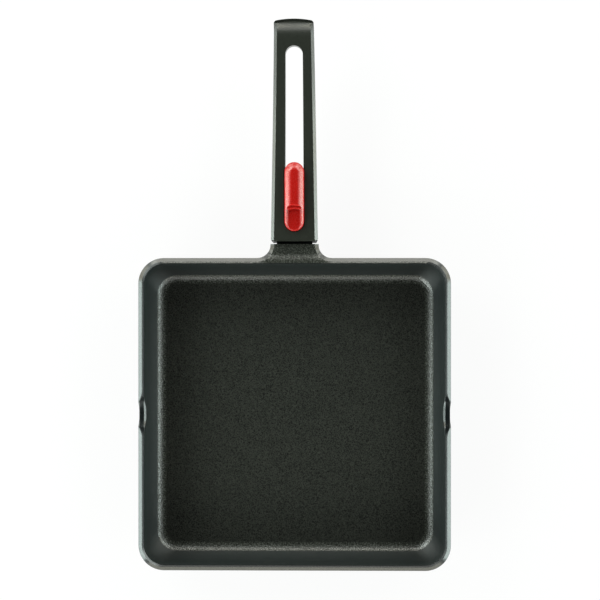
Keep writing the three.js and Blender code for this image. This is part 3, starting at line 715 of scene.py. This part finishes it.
def handle_rooms():
    """What is cut out of the handle, one cutter for each room so that they may overlap."""
    cutters = []

    def room(draw):
        bm = bmesh.new()
        draw(bm)
        bmesh.ops.recalc_face_normals(bm, faces=bm.faces)
        on_handle(bm)
        cutters.append(made("handle room", bm))

    def hanging_slot(bm):
        verts = box(bm, -SLOT_FRONT_HALF, SLOT_FRONT_HALF, SLOT_START, SLOT_END, -SLOT_CUT, SLOT_CUT)
        middle = (SLOT_START + SLOT_END) / 2
        far = [v for v in verts if v.co.y > middle]
        bmesh.ops.scale(bm, vec=(SLOT_END_HALF / SLOT_FRONT_HALF, 1, 1), verts=far)
        round_uprights(bm, verts, SLOT_END_HALF - SLOT_END_FLAT, 16, lambda edge: edge.y > middle)
        round_uprights(bm, bm.verts[:], SLOT_CORNER, 3, lambda edge: edge.y < SLOT_START + CLOSE)

    def slide_relief(bm):
        front, rear = SLIDE_FRONT - RELIEF_GAP, SLIDE_REAR + RELIEF_GAP
        face = capsule(bm, SLIDE_HALF + RELIEF_GAP, front, rear, -RELIEF_DEPTH)
        raise_face(bm, face, RELIEF_DEPTH + OVERRUN)

    def cover_bed(bm):
        half = COVER_HALF + GAP
        low = -HANDLE_DEPTH - 2 * OVERRUN
        verts = box(bm, -half, half, COVER_FRONT - GAP, COVER_REAR + GAP, low, COVER_TOP)
        round_uprights(bm, verts, COVER_CORNER + GAP, COVER_CORNER_STEPS)

    def tongue_mouth(bm):
        verts = box(bm, -SEAT_HALF, SEAT_HALF, -FRONT_LEAN - OVERRUN, MOUTH_REAR, MOUTH_LOW, MOUTH_HIGH)
        inner = [v for v in verts if v.co.y > MOUTH_REAR - CLOSE and v.co.z < MOUTH_LOW + CLOSE]
        bmesh.ops.translate(bm, vec=(0, 0, -MOUTH_DEEPEN), verts=inner)

    def mechanism_room(bm):
        box(bm, -ROOM_HALF, ROOM_HALF, ROOM_FRONT, ROOM_REAR, COVER_TOP - OVERRUN, ROOM_TOP)

    def neck_slot(bm):
        box(bm, -NECK_SLOT_HALF, NECK_SLOT_HALF, NECK_SLOT_FRONT, NECK_SLOT_REAR, ROOM_TOP - OVERRUN, 0)

    def pin_bore(bm):
        half = PIN_HALF + GAP
        bar(bm, PIN_RADIUS + GAP, (-half, PIN_PLACE, PIN_HEIGHT), (half, PIN_PLACE, PIN_HEIGHT))

    def pin_way(bm):
        half = PIN_HALF + GAP
        wide = PIN_RADIUS + GAP
        box(bm, -half, half, PIN_PLACE - wide, PIN_PLACE + wide, COVER_TOP - OVERRUN, PIN_HEIGHT)

    def guide_bore(bm):
        start = (0, ROOM_REAR - OVERRUN, SPRING_HEIGHT)
        bar(bm, GUIDE_RADIUS + GAP, start, (0, GUIDE_END + GAP, SPRING_HEIGHT))

    room(hanging_slot)
    room(slide_relief)
    room(cover_bed)
    room(tongue_mouth)
    room(mechanism_room)
    room(neck_slot)
    room(pin_bore)
    room(pin_way)
    room(guide_bore)
    low = -HANDLE_DEPTH - OVERRUN
    for x in COVER_SCREW_COLUMNS.values():
        for y in COVER_SCREW_ROWS.values():
            room(lambda bm, x=x, y=y: bar(bm, SCREW_HOLE, (x, y, low), (x, y, COVER_SCREW_TOP), 20))
    return cutters


def handle_cover():
    """A plate with two posts that hold the catch pin up, and four sunk screw holes."""
    bm = bmesh.new()
    verts = box(bm, -COVER_HALF, COVER_HALF, COVER_FRONT, COVER_REAR, -HANDLE_DEPTH, COVER_TOP)
    round_uprights(bm, verts, COVER_CORNER, COVER_CORNER_STEPS)
    on_handle(bm)
    piece = made("handle_cover_plate", bm)
    holes = []
    for x in COVER_SCREW_COLUMNS.values():
        for y in COVER_SCREW_ROWS.values():
            bm = bmesh.new()
            bmesh.ops.create_cone(
                bm,
                cap_ends=True,
                segments=32,
                radius1=SINK_RADIUS,
                radius2=SCREW_HOLE,
                depth=SINK_DEPTH,
                matrix=Matrix.Translation((x, y, -HANDLE_DEPTH + SINK_DEPTH / 2)),
            )
            under = {v for f in bm.faces if f.normal.z < -LEVEL_FACING for v in f.verts}
            bmesh.ops.translate(bm, vec=(0, 0, -VERY_CLOSE), verts=list(under))
            on_handle(bm)
            holes.append(made("screw seat", bm))
            bm = bmesh.new()
            bar(bm, SCREW_HOLE, (x, y, -HANDLE_DEPTH + OVERRUN), (x, y, COVER_TOP + OVERRUN))
            on_handle(bm)
            holes.append(made("screw hole", bm))
    bm = bmesh.new()
    for side in (-1, 1):
        inner, outer = sorted((side * (ROOM_HALF + GAP), side * (ROOM_HALF + GAP + POST_WIDTH)))
        top = PIN_HEIGHT - PIN_RADIUS - GAP
        box(bm, inner, outer, PIN_PLACE - PIN_RADIUS, PIN_PLACE + PIN_RADIUS, COVER_TOP - OVERRUN, top)
    on_handle(bm)
    work(piece, "UNION", made("posts", bm))
    work(piece, "DIFFERENCE", *holes)
    return piece


# Thumb slide


def thumb_slide():
    """A capsule drawn up ring by ring: sloping shoulders, then a nearly flat crown."""
    bm = bmesh.new()
    top = raise_face(bm, capsule(bm, SLIDE_HALF, SLIDE_FRONT, SLIDE_REAR, GAP), SLIDE_EDGE)
    step = SLIDE_HALF / SLIDE_STEPS
    for i in range(SLIDE_STEPS - 1):
        out = SLIDE_HALF - step * (i + 0.5)
        slope = SHOULDER_SLOPE * ease(out, SHOULDER_FLAT, SHOULDER_FULL) + CROWN_SLOPE * out / SLIDE_HALF
        slope += EDGE_SLOPE * ease(out, EDGE_START, SLIDE_HALF)
        bmesh.ops.inset_region(bm, faces=[top], thickness=step, depth=slope * step, use_even_offset=True)
    for v in bm.verts:
        if v.co.z > GAP + VERY_CLOSE:
            along = ease(v.co.y, SLIDE_FRONT, SLIDE_FRONT + SLIDE_HALF)
            v.co.z += SLIDE_WALL * along * (1 - ease(v.co.y, SLIDE_REAR - SLIDE_HALF, SLIDE_REAR))
    bmesh.ops.recalc_face_normals(bm, faces=bm.faces)
    on_handle(bm)
    return made("thumb_slide", bm)


def thumb_scoop(floor, arch, fillet):
    """A hollow for the thumb: round in front, with an arched wall across its far end."""
    half = SLIDE_HALF - SCOOP_RIM
    top = GAP + SLIDE_EDGE + SLIDE_WALL + SLIDE_CROWN
    bm = bmesh.new()
    raise_face(bm, capsule(bm, half, SLIDE_FRONT + SCOOP_FRONT, arch + 3 * half, floor), 2 * SLIDE_CROWN)
    bmesh.ops.recalc_face_normals(bm, faces=bm.faces)
    under = [e for e in bm.edges if all(abs(v.co.z - floor) < VERY_CLOSE for v in e.verts)]
    round_edges(bm, under, fillet, 10)
    on_handle(bm)
    hollow = made("thumb scoop", bm)
    # The arch is a cone that goes half the scoop's depth past its floor and past its top.
    bm = bmesh.new()
    deep = top - floor
    bmesh.ops.create_cone(
        bm,
        cap_ends=True,
        segments=96,
        radius1=SCOOP_ARCH_RADIUS - 1.5 * SCOOP_WALL * deep,
        radius2=SCOOP_ARCH_RADIUS + 0.5 * SCOOP_WALL * deep,
        depth=2 * deep,
        matrix=Matrix.Translation((0, arch - SCOOP_ARCH_RADIUS, top - deep / 2)),
    )
    on_handle(bm)
    work(hollow, "INTERSECT", made("arched end", bm))
    return hollow


def slide_shoe():
    """The shoe in the handle's relief, and the neck that goes down through its slot."""
    bm = bmesh.new()
    face = capsule(bm, SHOE_HALF, SLIDE_FRONT + SHOE_INSET, SLIDE_REAR - SHOE_INSET, -SHOE_DEPTH)
    raise_face(bm, face, SHOE_DEPTH + SLIDE_EDGE)
    bmesh.ops.recalc_face_normals(bm, faces=bm.faces)
    on_handle(bm)
    shoe = made("shoe", bm)
    bm = bmesh.new()
    half = NECK_SLOT_HALF - GAP
    rear = NECK_SLOT_REAR - SLIDE_TRAVEL - GAP
    box(bm, -half, half, NECK_SLOT_FRONT + GAP, rear, ROOM_TOP - GAP, SLIDE_EDGE)
    on_handle(bm)
    return shoe, made("neck", bm)


def slide_screw_holes():
    """Blind holes from below for the two screws that hold the slide."""
    bm = bmesh.new()
    for y in SLIDE_SCREW_ROWS.values():
        bar(bm, SCREW_HOLE, (0, y, COVER_TOP), (0, y, -GAP))
    on_handle(bm)
    return made("slide screw holes", bm)


# Steel pieces and the nylon carriage


def eased_copy(node, name, width):
    """A CAD solid with its edges eased; the copy is merged and its flat faces are made whole."""
    bm = bmesh.new()
    bm.from_mesh(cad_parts[node].data)
    bmesh.ops.remove_doubles(bm, verts=bm.verts, dist=SOLID_WELD * MM)
    bmesh.ops.dissolve_limit(bm, angle_limit=math.radians(1), verts=bm.verts, edges=bm.edges)
    bmesh.ops.scale(bm, vec=(1 / MM, 1 / MM, 1 / MM), verts=bm.verts)
    piece = made(name, bm)
    ease_edges(piece, width, segments=2)
    return piece


def pin(name, radius, start, end):
    """A round pin with eased ends."""
    bm = bmesh.new()
    verts = bar(bm, radius, start, end, 40)
    sharp = math.radians(57)
    rims = {e for v in verts for e in v.link_edges if e.calc_face_angle(0) > sharp}
    round_edges(bm, list(rims), PIN_CHAMFER, 2)
    on_handle(bm)
    return made(name, bm)


def screw(name, section, place, recess):
    """A turned screw that points up, with a drive recess in its head."""
    bm = bmesh.new()
    line = [bm.verts.new((radius, 0, z)) for radius, z in section]
    for a, b in zip(line, line[1:]):
        bm.edges.new((a, b))
    bmesh.ops.spin(
        bm,
        geom=bm.verts[:] + bm.edges[:],
        cent=(0, 0, 0),
        axis=(0, 0, 1),
        angle=2 * math.pi,
        steps=SCREW_STEPS,
        use_merge=True,
    )
    bmesh.ops.remove_doubles(bm, verts=bm.verts, dist=WELD)
    bmesh.ops.recalc_face_normals(bm, faces=bm.faces)
    bmesh.ops.translate(bm, vec=place, verts=bm.verts)
    on_handle(bm)
    piece = made(name, bm)
    head = section[0][1]
    low = head - OVERRUN
    bm = bmesh.new()
    if recess == "hex":
        bar(bm, HEX_RADIUS, (0, 0, low), (0, 0, head + HEX_DEPTH), 6)
        tools = [bm]
    else:
        box(bm, -CROSS_HALF, CROSS_HALF, -CROSS_BLADE, CROSS_BLADE, low, head + CROSS_DEPTH)
        other = bmesh.new()
        box(other, -CROSS_BLADE, CROSS_BLADE, -CROSS_HALF, CROSS_HALF, low, head + CROSS_DEPTH)
        tools = [bm, other]
    cutters = []
    for tool in tools:
        bmesh.ops.translate(tool, vec=place, verts=tool.verts)
        on_handle(tool)
        cutters.append(made("drive recess", tool))
    work(piece, "DIFFERENCE", *cutters)
    ease_edges(piece, SCREW_EDGE, segments=2)
    return piece


def return_spring():
    """Round wire wound by turning its section about the spring's line."""
    curls, steps, wire, radius = 9, 24, 0.35, 2.65
    start, end = 40.85, 59.05
    bm = bmesh.new()
    place = Matrix.Translation((radius, start, 0))
    bmesh.ops.create_circle(bm, cap_ends=True, segments=10, radius=wire, matrix=place)
    bmesh.ops.spin(
        bm,
        geom=bm.verts[:] + bm.edges[:] + bm.faces[:],
        cent=(0, 0, 0),
        axis=(0, -1, 0),
        dvec=(0, (end - start) / (curls * steps), 0),
        angle=2 * math.pi * curls,
        steps=curls * steps,
    )
    bmesh.ops.remove_doubles(bm, verts=bm.verts, dist=WELD)
    bmesh.ops.recalc_face_normals(bm, faces=bm.faces)
    bmesh.ops.translate(bm, vec=(0, 0, SPRING_HEIGHT), verts=bm.verts)
    on_handle(bm)
    return made("return_coil", bm)


# Finishes


def add(tree, kind, inputs=None, **settings):
    """Adds one node; an input is a number, a colour or another node's output."""
    node = tree.nodes.new(kind)
    for name, value in settings.items():
        setattr(node, name, value)
    for socket, value in (inputs or {}).items():
        if isinstance(value, bpy.types.NodeSocket):
            tree.links.new(value, node.inputs[socket])
        else:
            node.inputs[socket].default_value = value
    return node


def new_material(name):
    """An empty material; gives it, its node tree and the object's own coordinates in metres."""
    material = bpy.data.materials.new(name)
    material.use_nodes = True
    tree = material.node_tree
    tree.nodes.clear()
    place = add(tree, "ShaderNodeTexCoord").outputs["Object"]
    return material, tree, place


def per_metre(millimetres):
    """Pattern scale that gives features of that size."""
    return 1 / (millimetres * MM)


def ptfe_coating(name, dark, light, grain_size, grain_height, rough_low, rough_high, ior):
    """PTFE sprayed on cast aluminium and baked: near black and satin. On the cooking floor it lies
    on a fine pebbled grain that breaks highlights into sparks; on walls and rim it is smooth."""
    material, tree, place = new_material(name)
    # Real pebbles are about 0.5 mm wide; they are drawn at 0.8 to 1.2 mm to show.
    grain = add(
        tree,
        "ShaderNodeTexNoise",
        {"Vector": place, "Scale": per_metre(grain_size), "Detail": 1, "Roughness": 0.5},
    )
    pebble = add(
        tree,
        "ShaderNodeMapRange",
        {"Value": grain.outputs["Fac"], "From Min": 0.32, "From Max": 0.68},
    )
    colour = add(
        tree,
        "ShaderNodeMix",
        {"Factor": pebble.outputs["Result"], "A": linear(dark), "B": linear(light)},
        data_type="RGBA",
    )
    rough = add(
        tree,
        "ShaderNodeMapRange",
        {"Value": pebble.outputs["Result"], "To Min": rough_low, "To Max": rough_high},
    )
    bump = add(
        tree,
        "ShaderNodeBump",
        {"Height": grain.outputs["Fac"], "Strength": 1, "Distance": grain_height * MM},
    )
    shader = add(
        tree,
        "ShaderNodeBsdfPrincipled",
        {
            "Base Color": colour.outputs["Result"],
            "Roughness": rough.outputs["Result"],
            "IOR": ior,
            "Normal": bump.outputs["Normal"],
        },
    )
    add(tree, "ShaderNodeOutputMaterial", {"Surface": shader.outputs["BSDF"]})
    return material


def phenolic():
    """Compression moulded phenolic: dark grey, satin, with a faint mottle from its filler."""
    material, tree, place = new_material("moulded phenolic")
    filler = add(
        tree,
        "ShaderNodeTexNoise",
        {"Vector": place, "Scale": per_metre(1.4), "Detail": 2, "Roughness": 0.5},
    )
    colour = add(
        tree,
        "ShaderNodeMix",
        {"Factor": filler.outputs["Fac"], "A": linear("#1f211c"), "B": linear("#30332c")},
        data_type="RGBA",
    )
    rough = add(
        tree,
        "ShaderNodeMapRange",
        {"Value": filler.outputs["Fac"], "From Min": 0.3, "From Max": 0.7, "To Min": 0.28, "To Max": 0.32},
    )
    bump = add(
        tree,
        "ShaderNodeBump",
        {"Height": filler.outputs["Fac"], "Strength": 0.03, "Distance": 0.0002},
    )
    shader = add(
        tree,
        "ShaderNodeBsdfPrincipled",
        {
            "Base Color": colour.outputs["Result"],
            "Roughness": rough.outputs["Result"],
            "IOR": 1.8,
            "Normal": bump.outputs["Normal"],
        },
    )
    add(tree, "ShaderNodeOutputMaterial", {"Surface": shader.outputs["BSDF"]})
    return material


def red_abs():
    """Moulded ABS, self coloured: bright red with a soft gloss and a trace of mould texture."""
    material, tree, place = new_material("red moulded ABS")
    texture = add(tree, "ShaderNodeTexNoise", {"Vector": place, "Scale": per_metre(0.9), "Detail": 2})
    flow = add(tree, "ShaderNodeTexNoise", {"Vector": place, "Scale": per_metre(14), "Detail": 1})
    colour = add(
        tree,
        "ShaderNodeMix",
        {"Factor": flow.outputs["Fac"], "A": linear("#ae120d"), "B": linear("#b91a14")},
        data_type="RGBA",
    )
    rough = add(
        tree,
        "ShaderNodeMapRange",
        {"Value": texture.outputs["Fac"], "From Min": 0.3, "From Max": 0.7, "To Min": 0.24, "To Max": 0.3},
    )
    bump = add(
        tree,
        "ShaderNodeBump",
        {"Height": texture.outputs["Fac"], "Strength": 0.03, "Distance": 0.0002},
    )
    shader = add(
        tree,
        "ShaderNodeBsdfPrincipled",
        {
            "Base Color": colour.outputs["Result"],
            "Roughness": rough.outputs["Result"],
            "IOR": 1.64,
            "Normal": bump.outputs["Normal"],
        },
    )
    add(tree, "ShaderNodeOutputMaterial", {"Surface": shader.outputs["BSDF"]})
    return material


def brushed_steel():
    """Stainless steel brushed along X: bright, with fine lines that stretch its highlights."""
    material, tree, place = new_material("brushed stainless steel")
    # Real brush lines are about 0.1 mm apart; they are drawn at 0.6 mm to show.
    along = add(tree, "ShaderNodeMapping", {"Vector": place, "Scale": (0.02, 1, 1)})
    lines = add(
        tree,
        "ShaderNodeTexNoise",
        {"Vector": along.outputs["Vector"], "Scale": per_metre(0.6), "Detail": 2},
    )
    rough = add(
        tree,
        "ShaderNodeMapRange",
        {"Value": lines.outputs["Fac"], "From Min": 0.3, "From Max": 0.7, "To Min": 0.24, "To Max": 0.42},
    )
    bump = add(
        tree,
        "ShaderNodeBump",
        {"Height": lines.outputs["Fac"], "Strength": 0.15, "Distance": 0.0001},
    )
    shader = add(
        tree,
        "ShaderNodeBsdfPrincipled",
        {
            "Base Color": linear("#c6c8c8"),
            "Metallic": 1,
            "Roughness": rough.outputs["Result"],
            "Normal": bump.outputs["Normal"],
        },
    )
    add(tree, "ShaderNodeOutputMaterial", {"Surface": shader.outputs["BSDF"]})
    return material


def black_oxide_darkened_as_shade():
    """Steel blackened in a hot bath: almost black, with a dull metal sheen where it is rubbed. Its
    near-black also serves as painted shade in the narrow gap between lug and handle, where the tongue
    shows.
    """
    material, tree, place = new_material("black oxide steel")
    rub = add(tree, "ShaderNodeTexNoise", {"Vector": place, "Scale": per_metre(3), "Detail": 4})
    colour = add(
        tree,
        "ShaderNodeMix",
        {"Factor": rub.outputs["Fac"], "A": linear("#1d1e1f"), "B": linear("#34363a")},
        data_type="RGBA",
    )
    shader = add(
        tree,
        "ShaderNodeBsdfPrincipled",
        {"Base Color": colour.outputs["Result"], "Metallic": 1, "Roughness": 0.45},
    )
    add(tree, "ShaderNodeOutputMaterial", {"Surface": shader.outputs["BSDF"]})
    return material


def zinc_plate():
    """Zinc plated steel: pale grey metal with a faint blotchy sheen from the bath."""
    material, tree, place = new_material("zinc plated steel")
    blotch = add(tree, "ShaderNodeTexNoise", {"Vector": place, "Scale": per_metre(1.2), "Detail": 3})
    colour = add(
        tree,
        "ShaderNodeMix",
        {"Factor": blotch.outputs["Fac"], "A": linear("#a7abae"), "B": linear("#bfc0bb")},
        data_type="RGBA",
    )
    rough = add(
        tree,
        "ShaderNodeMapRange",
        {"Value": blotch.outputs["Fac"], "From Min": 0.3, "From Max": 0.7, "To Min": 0.28, "To Max": 0.4},
    )
    shader = add(
        tree,
        "ShaderNodeBsdfPrincipled",
        {"Base Color": colour.outputs["Result"], "Metallic": 1, "Roughness": rough.outputs["Result"]},
    )
    add(tree, "ShaderNodeOutputMaterial", {"Surface": shader.outputs["BSDF"]})
    return material


def spring_wire():
    """Drawn spring steel wire: dark grey metal, darker in streaks where the oil stayed."""
    material, tree, place = new_material("drawn spring wire")
    streak = add(tree, "ShaderNodeTexNoise", {"Vector": place, "Scale": per_metre(1.5), "Detail": 2})
    colour = add(
        tree,
        "ShaderNodeMix",
        {"Factor": streak.outputs["Fac"], "A": linear("#5f6264"), "B": linear("#85878a")},
        data_type="RGBA",
    )
    shader = add(
        tree,
        "ShaderNodeBsdfPrincipled",
        {"Base Color": colour.outputs["Result"], "Metallic": 1, "Roughness": 0.36},
    )
    add(tree, "ShaderNodeOutputMaterial", {"Surface": shader.outputs["BSDF"]})
    return material


def filled_nylon():
    """Glass filled nylon: matt charcoal with pale fibre flecks near the surface."""
    material, tree, place = new_material("glass filled nylon")
    fibre = add(tree, "ShaderNodeTexNoise", {"Vector": place, "Scale": per_metre(0.8), "Detail": 3})
    colour = add(
        tree,
        "ShaderNodeMix",
        {"Factor": fibre.outputs["Fac"], "A": linear("#2a2b2a"), "B": linear("#434442")},
        data_type="RGBA",
    )
    bump = add(
        tree,
        "ShaderNodeBump",
        {"Height": fibre.outputs["Fac"], "Strength": 0.15, "Distance": 0.0002},
    )
    shader = add(
        tree,
        "ShaderNodeBsdfPrincipled",
        {
            "Base Color": colour.outputs["Result"],
            "Roughness": 0.55,
            "IOR": 1.53,
            "Normal": bump.outputs["Normal"],
        },
    )
    add(tree, "ShaderNodeOutputMaterial", {"Surface": shader.outputs["BSDF"]})
    return material


smooth_coating = ptfe_coating(
    "smooth PTFE coating",
    dark="#070c0d",
    light="#0b1112",
    grain_size=0.8,
    grain_height=0.01,
    rough_low=0.22,
    rough_high=0.28,
    ior=1.55,
)
# The walls' copy of the coating is rougher, and its base colour is darkened as painted shade on the walls.
wall_coating_darkened_as_shade = ptfe_coating(
    "matt PTFE coating",
    dark="#000b0a",
    light="#010d0c",
    grain_size=0.8,
    grain_height=0.01,
    rough_low=0.46,
    rough_high=0.52,
    ior=1.57,
)
# The cooking floor's copy has a real pebbled grain and speckle. Its overall base colour is lightened as
# painted light on the floor.
floor_coating_lightened_as_light = ptfe_coating(
    "pebbled PTFE coating",
    dark="#1b1c1a",
    light="#40423c",
    grain_size=0.8,
    grain_height=0.28,
    rough_low=0.2,
    rough_high=0.26,
    ior=1.66,
)
# The copy on the fillets and the lug has a coarser grain. Its base colour is lightened further as painted
# light on the lug top.
curve_coating_lightened_as_light = ptfe_coating(
    "pebbled PTFE coating of the curves",
    dark="#20221e",
    light="#474943",
    grain_size=1.2,
    grain_height=0.3,
    rough_low=0.08,
    rough_high=0.36,
    ior=1.71,
)
black = phenolic()
red = red_abs()
steel = brushed_steel()
blackened_as_gap_shade = black_oxide_darkened_as_shade()
zinc = zinc_plate()
wire = spring_wire()
nylon = filled_nylon()

# The pan

casting = pan_casting()
work(casting, "DIFFERENCE", casting_rooms())
coatings = [smooth_coating, floor_coating_lightened_as_light, curve_coating_lightened_as_light, wall_coating_darkened_as_shade]
dress(casting, coatings, "non_stick_aluminium", "pan", "pan_body")

plate = base_plate()
work(plate, "DIFFERENCE", plate_holes())
ease_edges(plate, width=0.2, segments=2)
dress(plate, steel, "stainless_steel", "pan", "induction_plate")

tongue = eased_copy("lug_tongue", "lug_tongue_strip", width=0.3)
# The tongue's near-black finish is partly painted shade for the deep gap that it shows through.
dress(tongue, blackened_as_gap_shade, "black_steel", "pan", "lug_tongue")

for side, x in TONGUE_SCREW_COLUMNS.items():
    place = (x, TONGUE_SCREW_PLACE - HANDLE_START, -LUG_DEPTH)
    bolt = screw(f"tongue_cap_screw_{side}", CAP_HEAD, place, "hex")
    dress(bolt, zinc, "zinc_steel", "pan", f"tongue_screw_{side}")

# The handle

moulding = handle_moulding()
work(moulding, "DIFFERENCE", *handle_rooms())
ease_edges(moulding, width=0.3, segments=3, angle=65)
dress(moulding, black, "phenolic", "pan", "handle_body")

cover = handle_cover()
ease_edges(cover, width=0.3, segments=2)
dress(cover, black, "phenolic", "pan", "handle_cover")

for end, y in COVER_SCREW_ROWS.items():
    for side, x in COVER_SCREW_COLUMNS.items():
        fixing = screw(f"cover_fixing_{end}_{side}", SUNK_HEAD, (x, y, -HANDLE_DEPTH), "cross")
        dress(fixing, zinc, "zinc_steel", "pan", f"cover_screw_{end}_{side}")

left, right = (-PIN_HALF, PIN_PLACE, PIN_HEIGHT), (PIN_HALF, PIN_PLACE, PIN_HEIGHT)
catch = pin("hook_pin", PIN_RADIUS, left, right)
dress(catch, steel, "stainless_steel", "pan", "catch_pin")
front, rear = (0, GUIDE_START, SPRING_HEIGHT), (0, GUIDE_END, SPRING_HEIGHT)
guide = pin("coil_guide", GUIDE_RADIUS, front, rear)
dress(guide, steel, "stainless_steel", "pan", "spring_guide_pin")

coil = return_spring()
dress(coil, wire, "spring_steel", "pan", "return_spring")
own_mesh(coil)

# The release

thumb = thumb_slide()
work(thumb, "UNION", *slide_shoe())
ledge = thumb_scoop(SCOOP_STEP_HEIGHT, SLIDE_FRONT + SCOOP_ARCH, SCOOP_STEP_FILLET)
hollow = thumb_scoop(SCOOP_FLOOR, SLIDE_FRONT + SCOOP_ARCH - SCOOP_STEP, SCOOP_FILLET)
work(thumb, "DIFFERENCE", ledge, hollow, slide_screw_holes())
ease_edges(thumb, width=0.4, segments=3)
dress(thumb, red, "red_plastic", "slide", "release_slide")

carriage = eased_copy("slide_carriage", "nylon_carriage", width=0.3)
dress(carriage, nylon, "nylon", "slide", "slide_carriage")
bolt_plate = eased_copy("blocking_bolt", "bolt_plate", width=0.25)
dress(bolt_plate, steel, "stainless_steel", "slide", "blocking_bolt")

for end, y in SLIDE_SCREW_ROWS.items():
    fixing = screw(f"slide_fixing_{end}", PAN_HEAD, (0, y, SLIDE_SCREW_LOW), "cross")
    dress(fixing, zinc, "zinc_steel", "slide", f"slide_screw_{end}")

# Studio: pale floor, soft boxes round the object, camera almost straight above

scene = bpy.context.scene
scene.view_settings.view_transform = "Standard"


def pale_floor():
    """Matt white paper; the camera sees it as white, with the object's shadow kept."""
    material, tree, _ = new_material("white paper floor")
    path = add(tree, "ShaderNodeLightPath")
    seen = add(
        tree,
        "ShaderNodeMath",
        {0: path.outputs["Is Camera Ray"], 1: path.outputs["Is Glossy Ray"]},
        operation="MAXIMUM",
    )
    seen = add(
        tree,
        "ShaderNodeMath",
        {0: seen.outputs["Value"], 1: path.outputs["Is Transmission Ray"]},
        operation="MAXIMUM",
    )
    paper = add(tree, "ShaderNodeBsdfDiffuse", {"Color": linear("#fafafa")})
    glow = add(tree, "ShaderNodeEmission", {"Color": linear("#ffffff"), "Strength": seen.outputs["Value"]})
    lit = add(tree, "ShaderNodeMixShader", {0: 0.9, 1: paper.outputs["BSDF"], 2: glow.outputs["Emission"]})
    below = add(tree, "ShaderNodeNewGeometry").outputs["Backfacing"]
    clear = add(tree, "ShaderNodeBsdfTransparent")
    surface = add(
        tree, "ShaderNodeMixShader", {0: below, 1: lit.outputs["Shader"], 2: clear.outputs["BSDF"]}
    )
    add(tree, "ShaderNodeOutputMaterial", {"Surface": surface.outputs["Shader"]})
    bm = bmesh.new()
    bmesh.ops.create_grid(bm, x_segments=1, y_segments=1, size=PAPER_HALF)
    bmesh.ops.translate(bm, vec=(0, 0, -PAPER_SINK), verts=bm.verts)
    floor = made("studio_floor", bm)
    floor.data.materials.append(material)


def soft_box(name, place, target, width, height, brightness, tint):
    """A soft box that faces its target; a mirror shows about 0.8 of its brightness."""
    lamp = bpy.data.lights.new(name, "AREA")
    lamp.color = linear(tint)[:3]
    lamp.shape = "RECTANGLE"
    lamp.size = width
    lamp.size_y = height
    lamp.energy = brightness * math.pi * width * height
    holder = bpy.data.objects.new(name, lamp)
    holder.location = place
    holder.rotation_euler = (Vector(target) - Vector(place)).to_track_quat("-Z", "Y").to_euler()
    holder.visible_camera = False
    scene.collection.objects.link(holder)


pale_floor()
# Low boxes on all sides draw the bright rims and fillets.
for name, side, tall, brightness in (("left", -SIDE_BOX, 0.245, 12.3), ("right", SIDE_BOX, 0.3, 11.3)):
    high = tall / 2 + BOX_FOOT
    place, target = (side, PAN_BOX_PLACE, high), (0, PAN_BOX_PLACE, high)
    soft_box(f"{name} of the pan", place, target, PAN_BOX_WIDTH, tall, brightness, "#eefffa")
    place, target = (side, HANDLE_BOX_PLACE, high), (0, HANDLE_BOX_PLACE, high)
    soft_box(f"{name} of the handle", place, target, HANDLE_BOX_WIDTH, tall, 4.7, "#fffbe4")
for name, y, high, tall, brightness, tint in (
    ("behind the handle", BACK_BOX, 0.21, 0.4, 6.6, "#fffff4"),
    ("before the pan", FRONT_BOX, 0.12, 0.22, 4.3, "#ffffec"),
):
    soft_box(name, (0, y, high), (0, 0, high), WIDE_BOX, tall, brightness, tint)
# Dimmer boxes above them light the pan's floor, which the walls shade near its edges.
for name, side in (("left", -SIDE_BOX), ("right", SIDE_BOX)):
    place, target = (side, HIGH_BOX_PLACE, HIGH_BOX_HEIGHT), (0, HIGH_BOX_PLACE, HIGH_BOX_HEIGHT)
    soft_box(f"high on the {name}", place, target, WIDE_BOX, 0.71, 1.3, "#f6fffc")
for name, y, high, tall, brightness in (
    ("high behind the handle", BACK_BOX, 0.9, 0.9, 0.5),
    ("high before the pan", FRONT_BOX, 0.62, 0.66, 1.5),
):
    soft_box(name, (0, y, high), (0, 0, high), WIDE_BOX, tall, brightness, "#fffffa")
# Boxes across the corners carry the highlights round them.
for x, y, name, brightness in (
    (-CORNER_BOX, CORNER_BOX, "far left corner", 7.2),
    (CORNER_BOX, CORNER_BOX, "far right corner", 3.6),
    (-CORNER_BOX, -CORNER_BOX, "near left corner", 6.4),
    (CORNER_BOX, -CORNER_BOX, "near right corner", 2),
):
    soft_box(name, (x, y, CORNER_BOX_HEIGHT), (0, 0, 0), CORNER_BOX_WIDTH, 0.65, brightness, "#f4fffa")

world = bpy.data.worlds.new("studio")
world.use_nodes = True
scene.world = world
tree = world.node_tree
tree.nodes.clear()
path = add(tree, "ShaderNodeLightPath")
fill = add(tree, "ShaderNodeBackground", {"Color": linear("#ffffff"), "Strength": 0.02})
white = add(tree, "ShaderNodeBackground", {"Color": linear("#ffffff"), "Strength": 1})
mixed = add(
    tree,
    "ShaderNodeMixShader",
    {0: path.outputs["Is Camera Ray"], 1: fill.outputs["Background"], 2: white.outputs["Background"]},
)
add(tree, "ShaderNodeOutputWorld", {"Surface": mixed.outputs["Shader"]})

lens = bpy.data.cameras.new("camera")
lens.sensor_width = SENSOR_WIDTH
lens.lens = FOCAL_LENGTH
camera = bpy.data.objects.new("camera", lens)
camera.location = CAMERA_PLACE
# It stands a little to one side and leans to look at the middle of the part.
line = CAMERA_AIM - CAMERA_PLACE
camera.rotation_euler = (math.atan2(line.y, -line.z), math.atan2(-line.x, -line.z), 0)
scene.collection.objects.link(camera)
scene.camera = camera
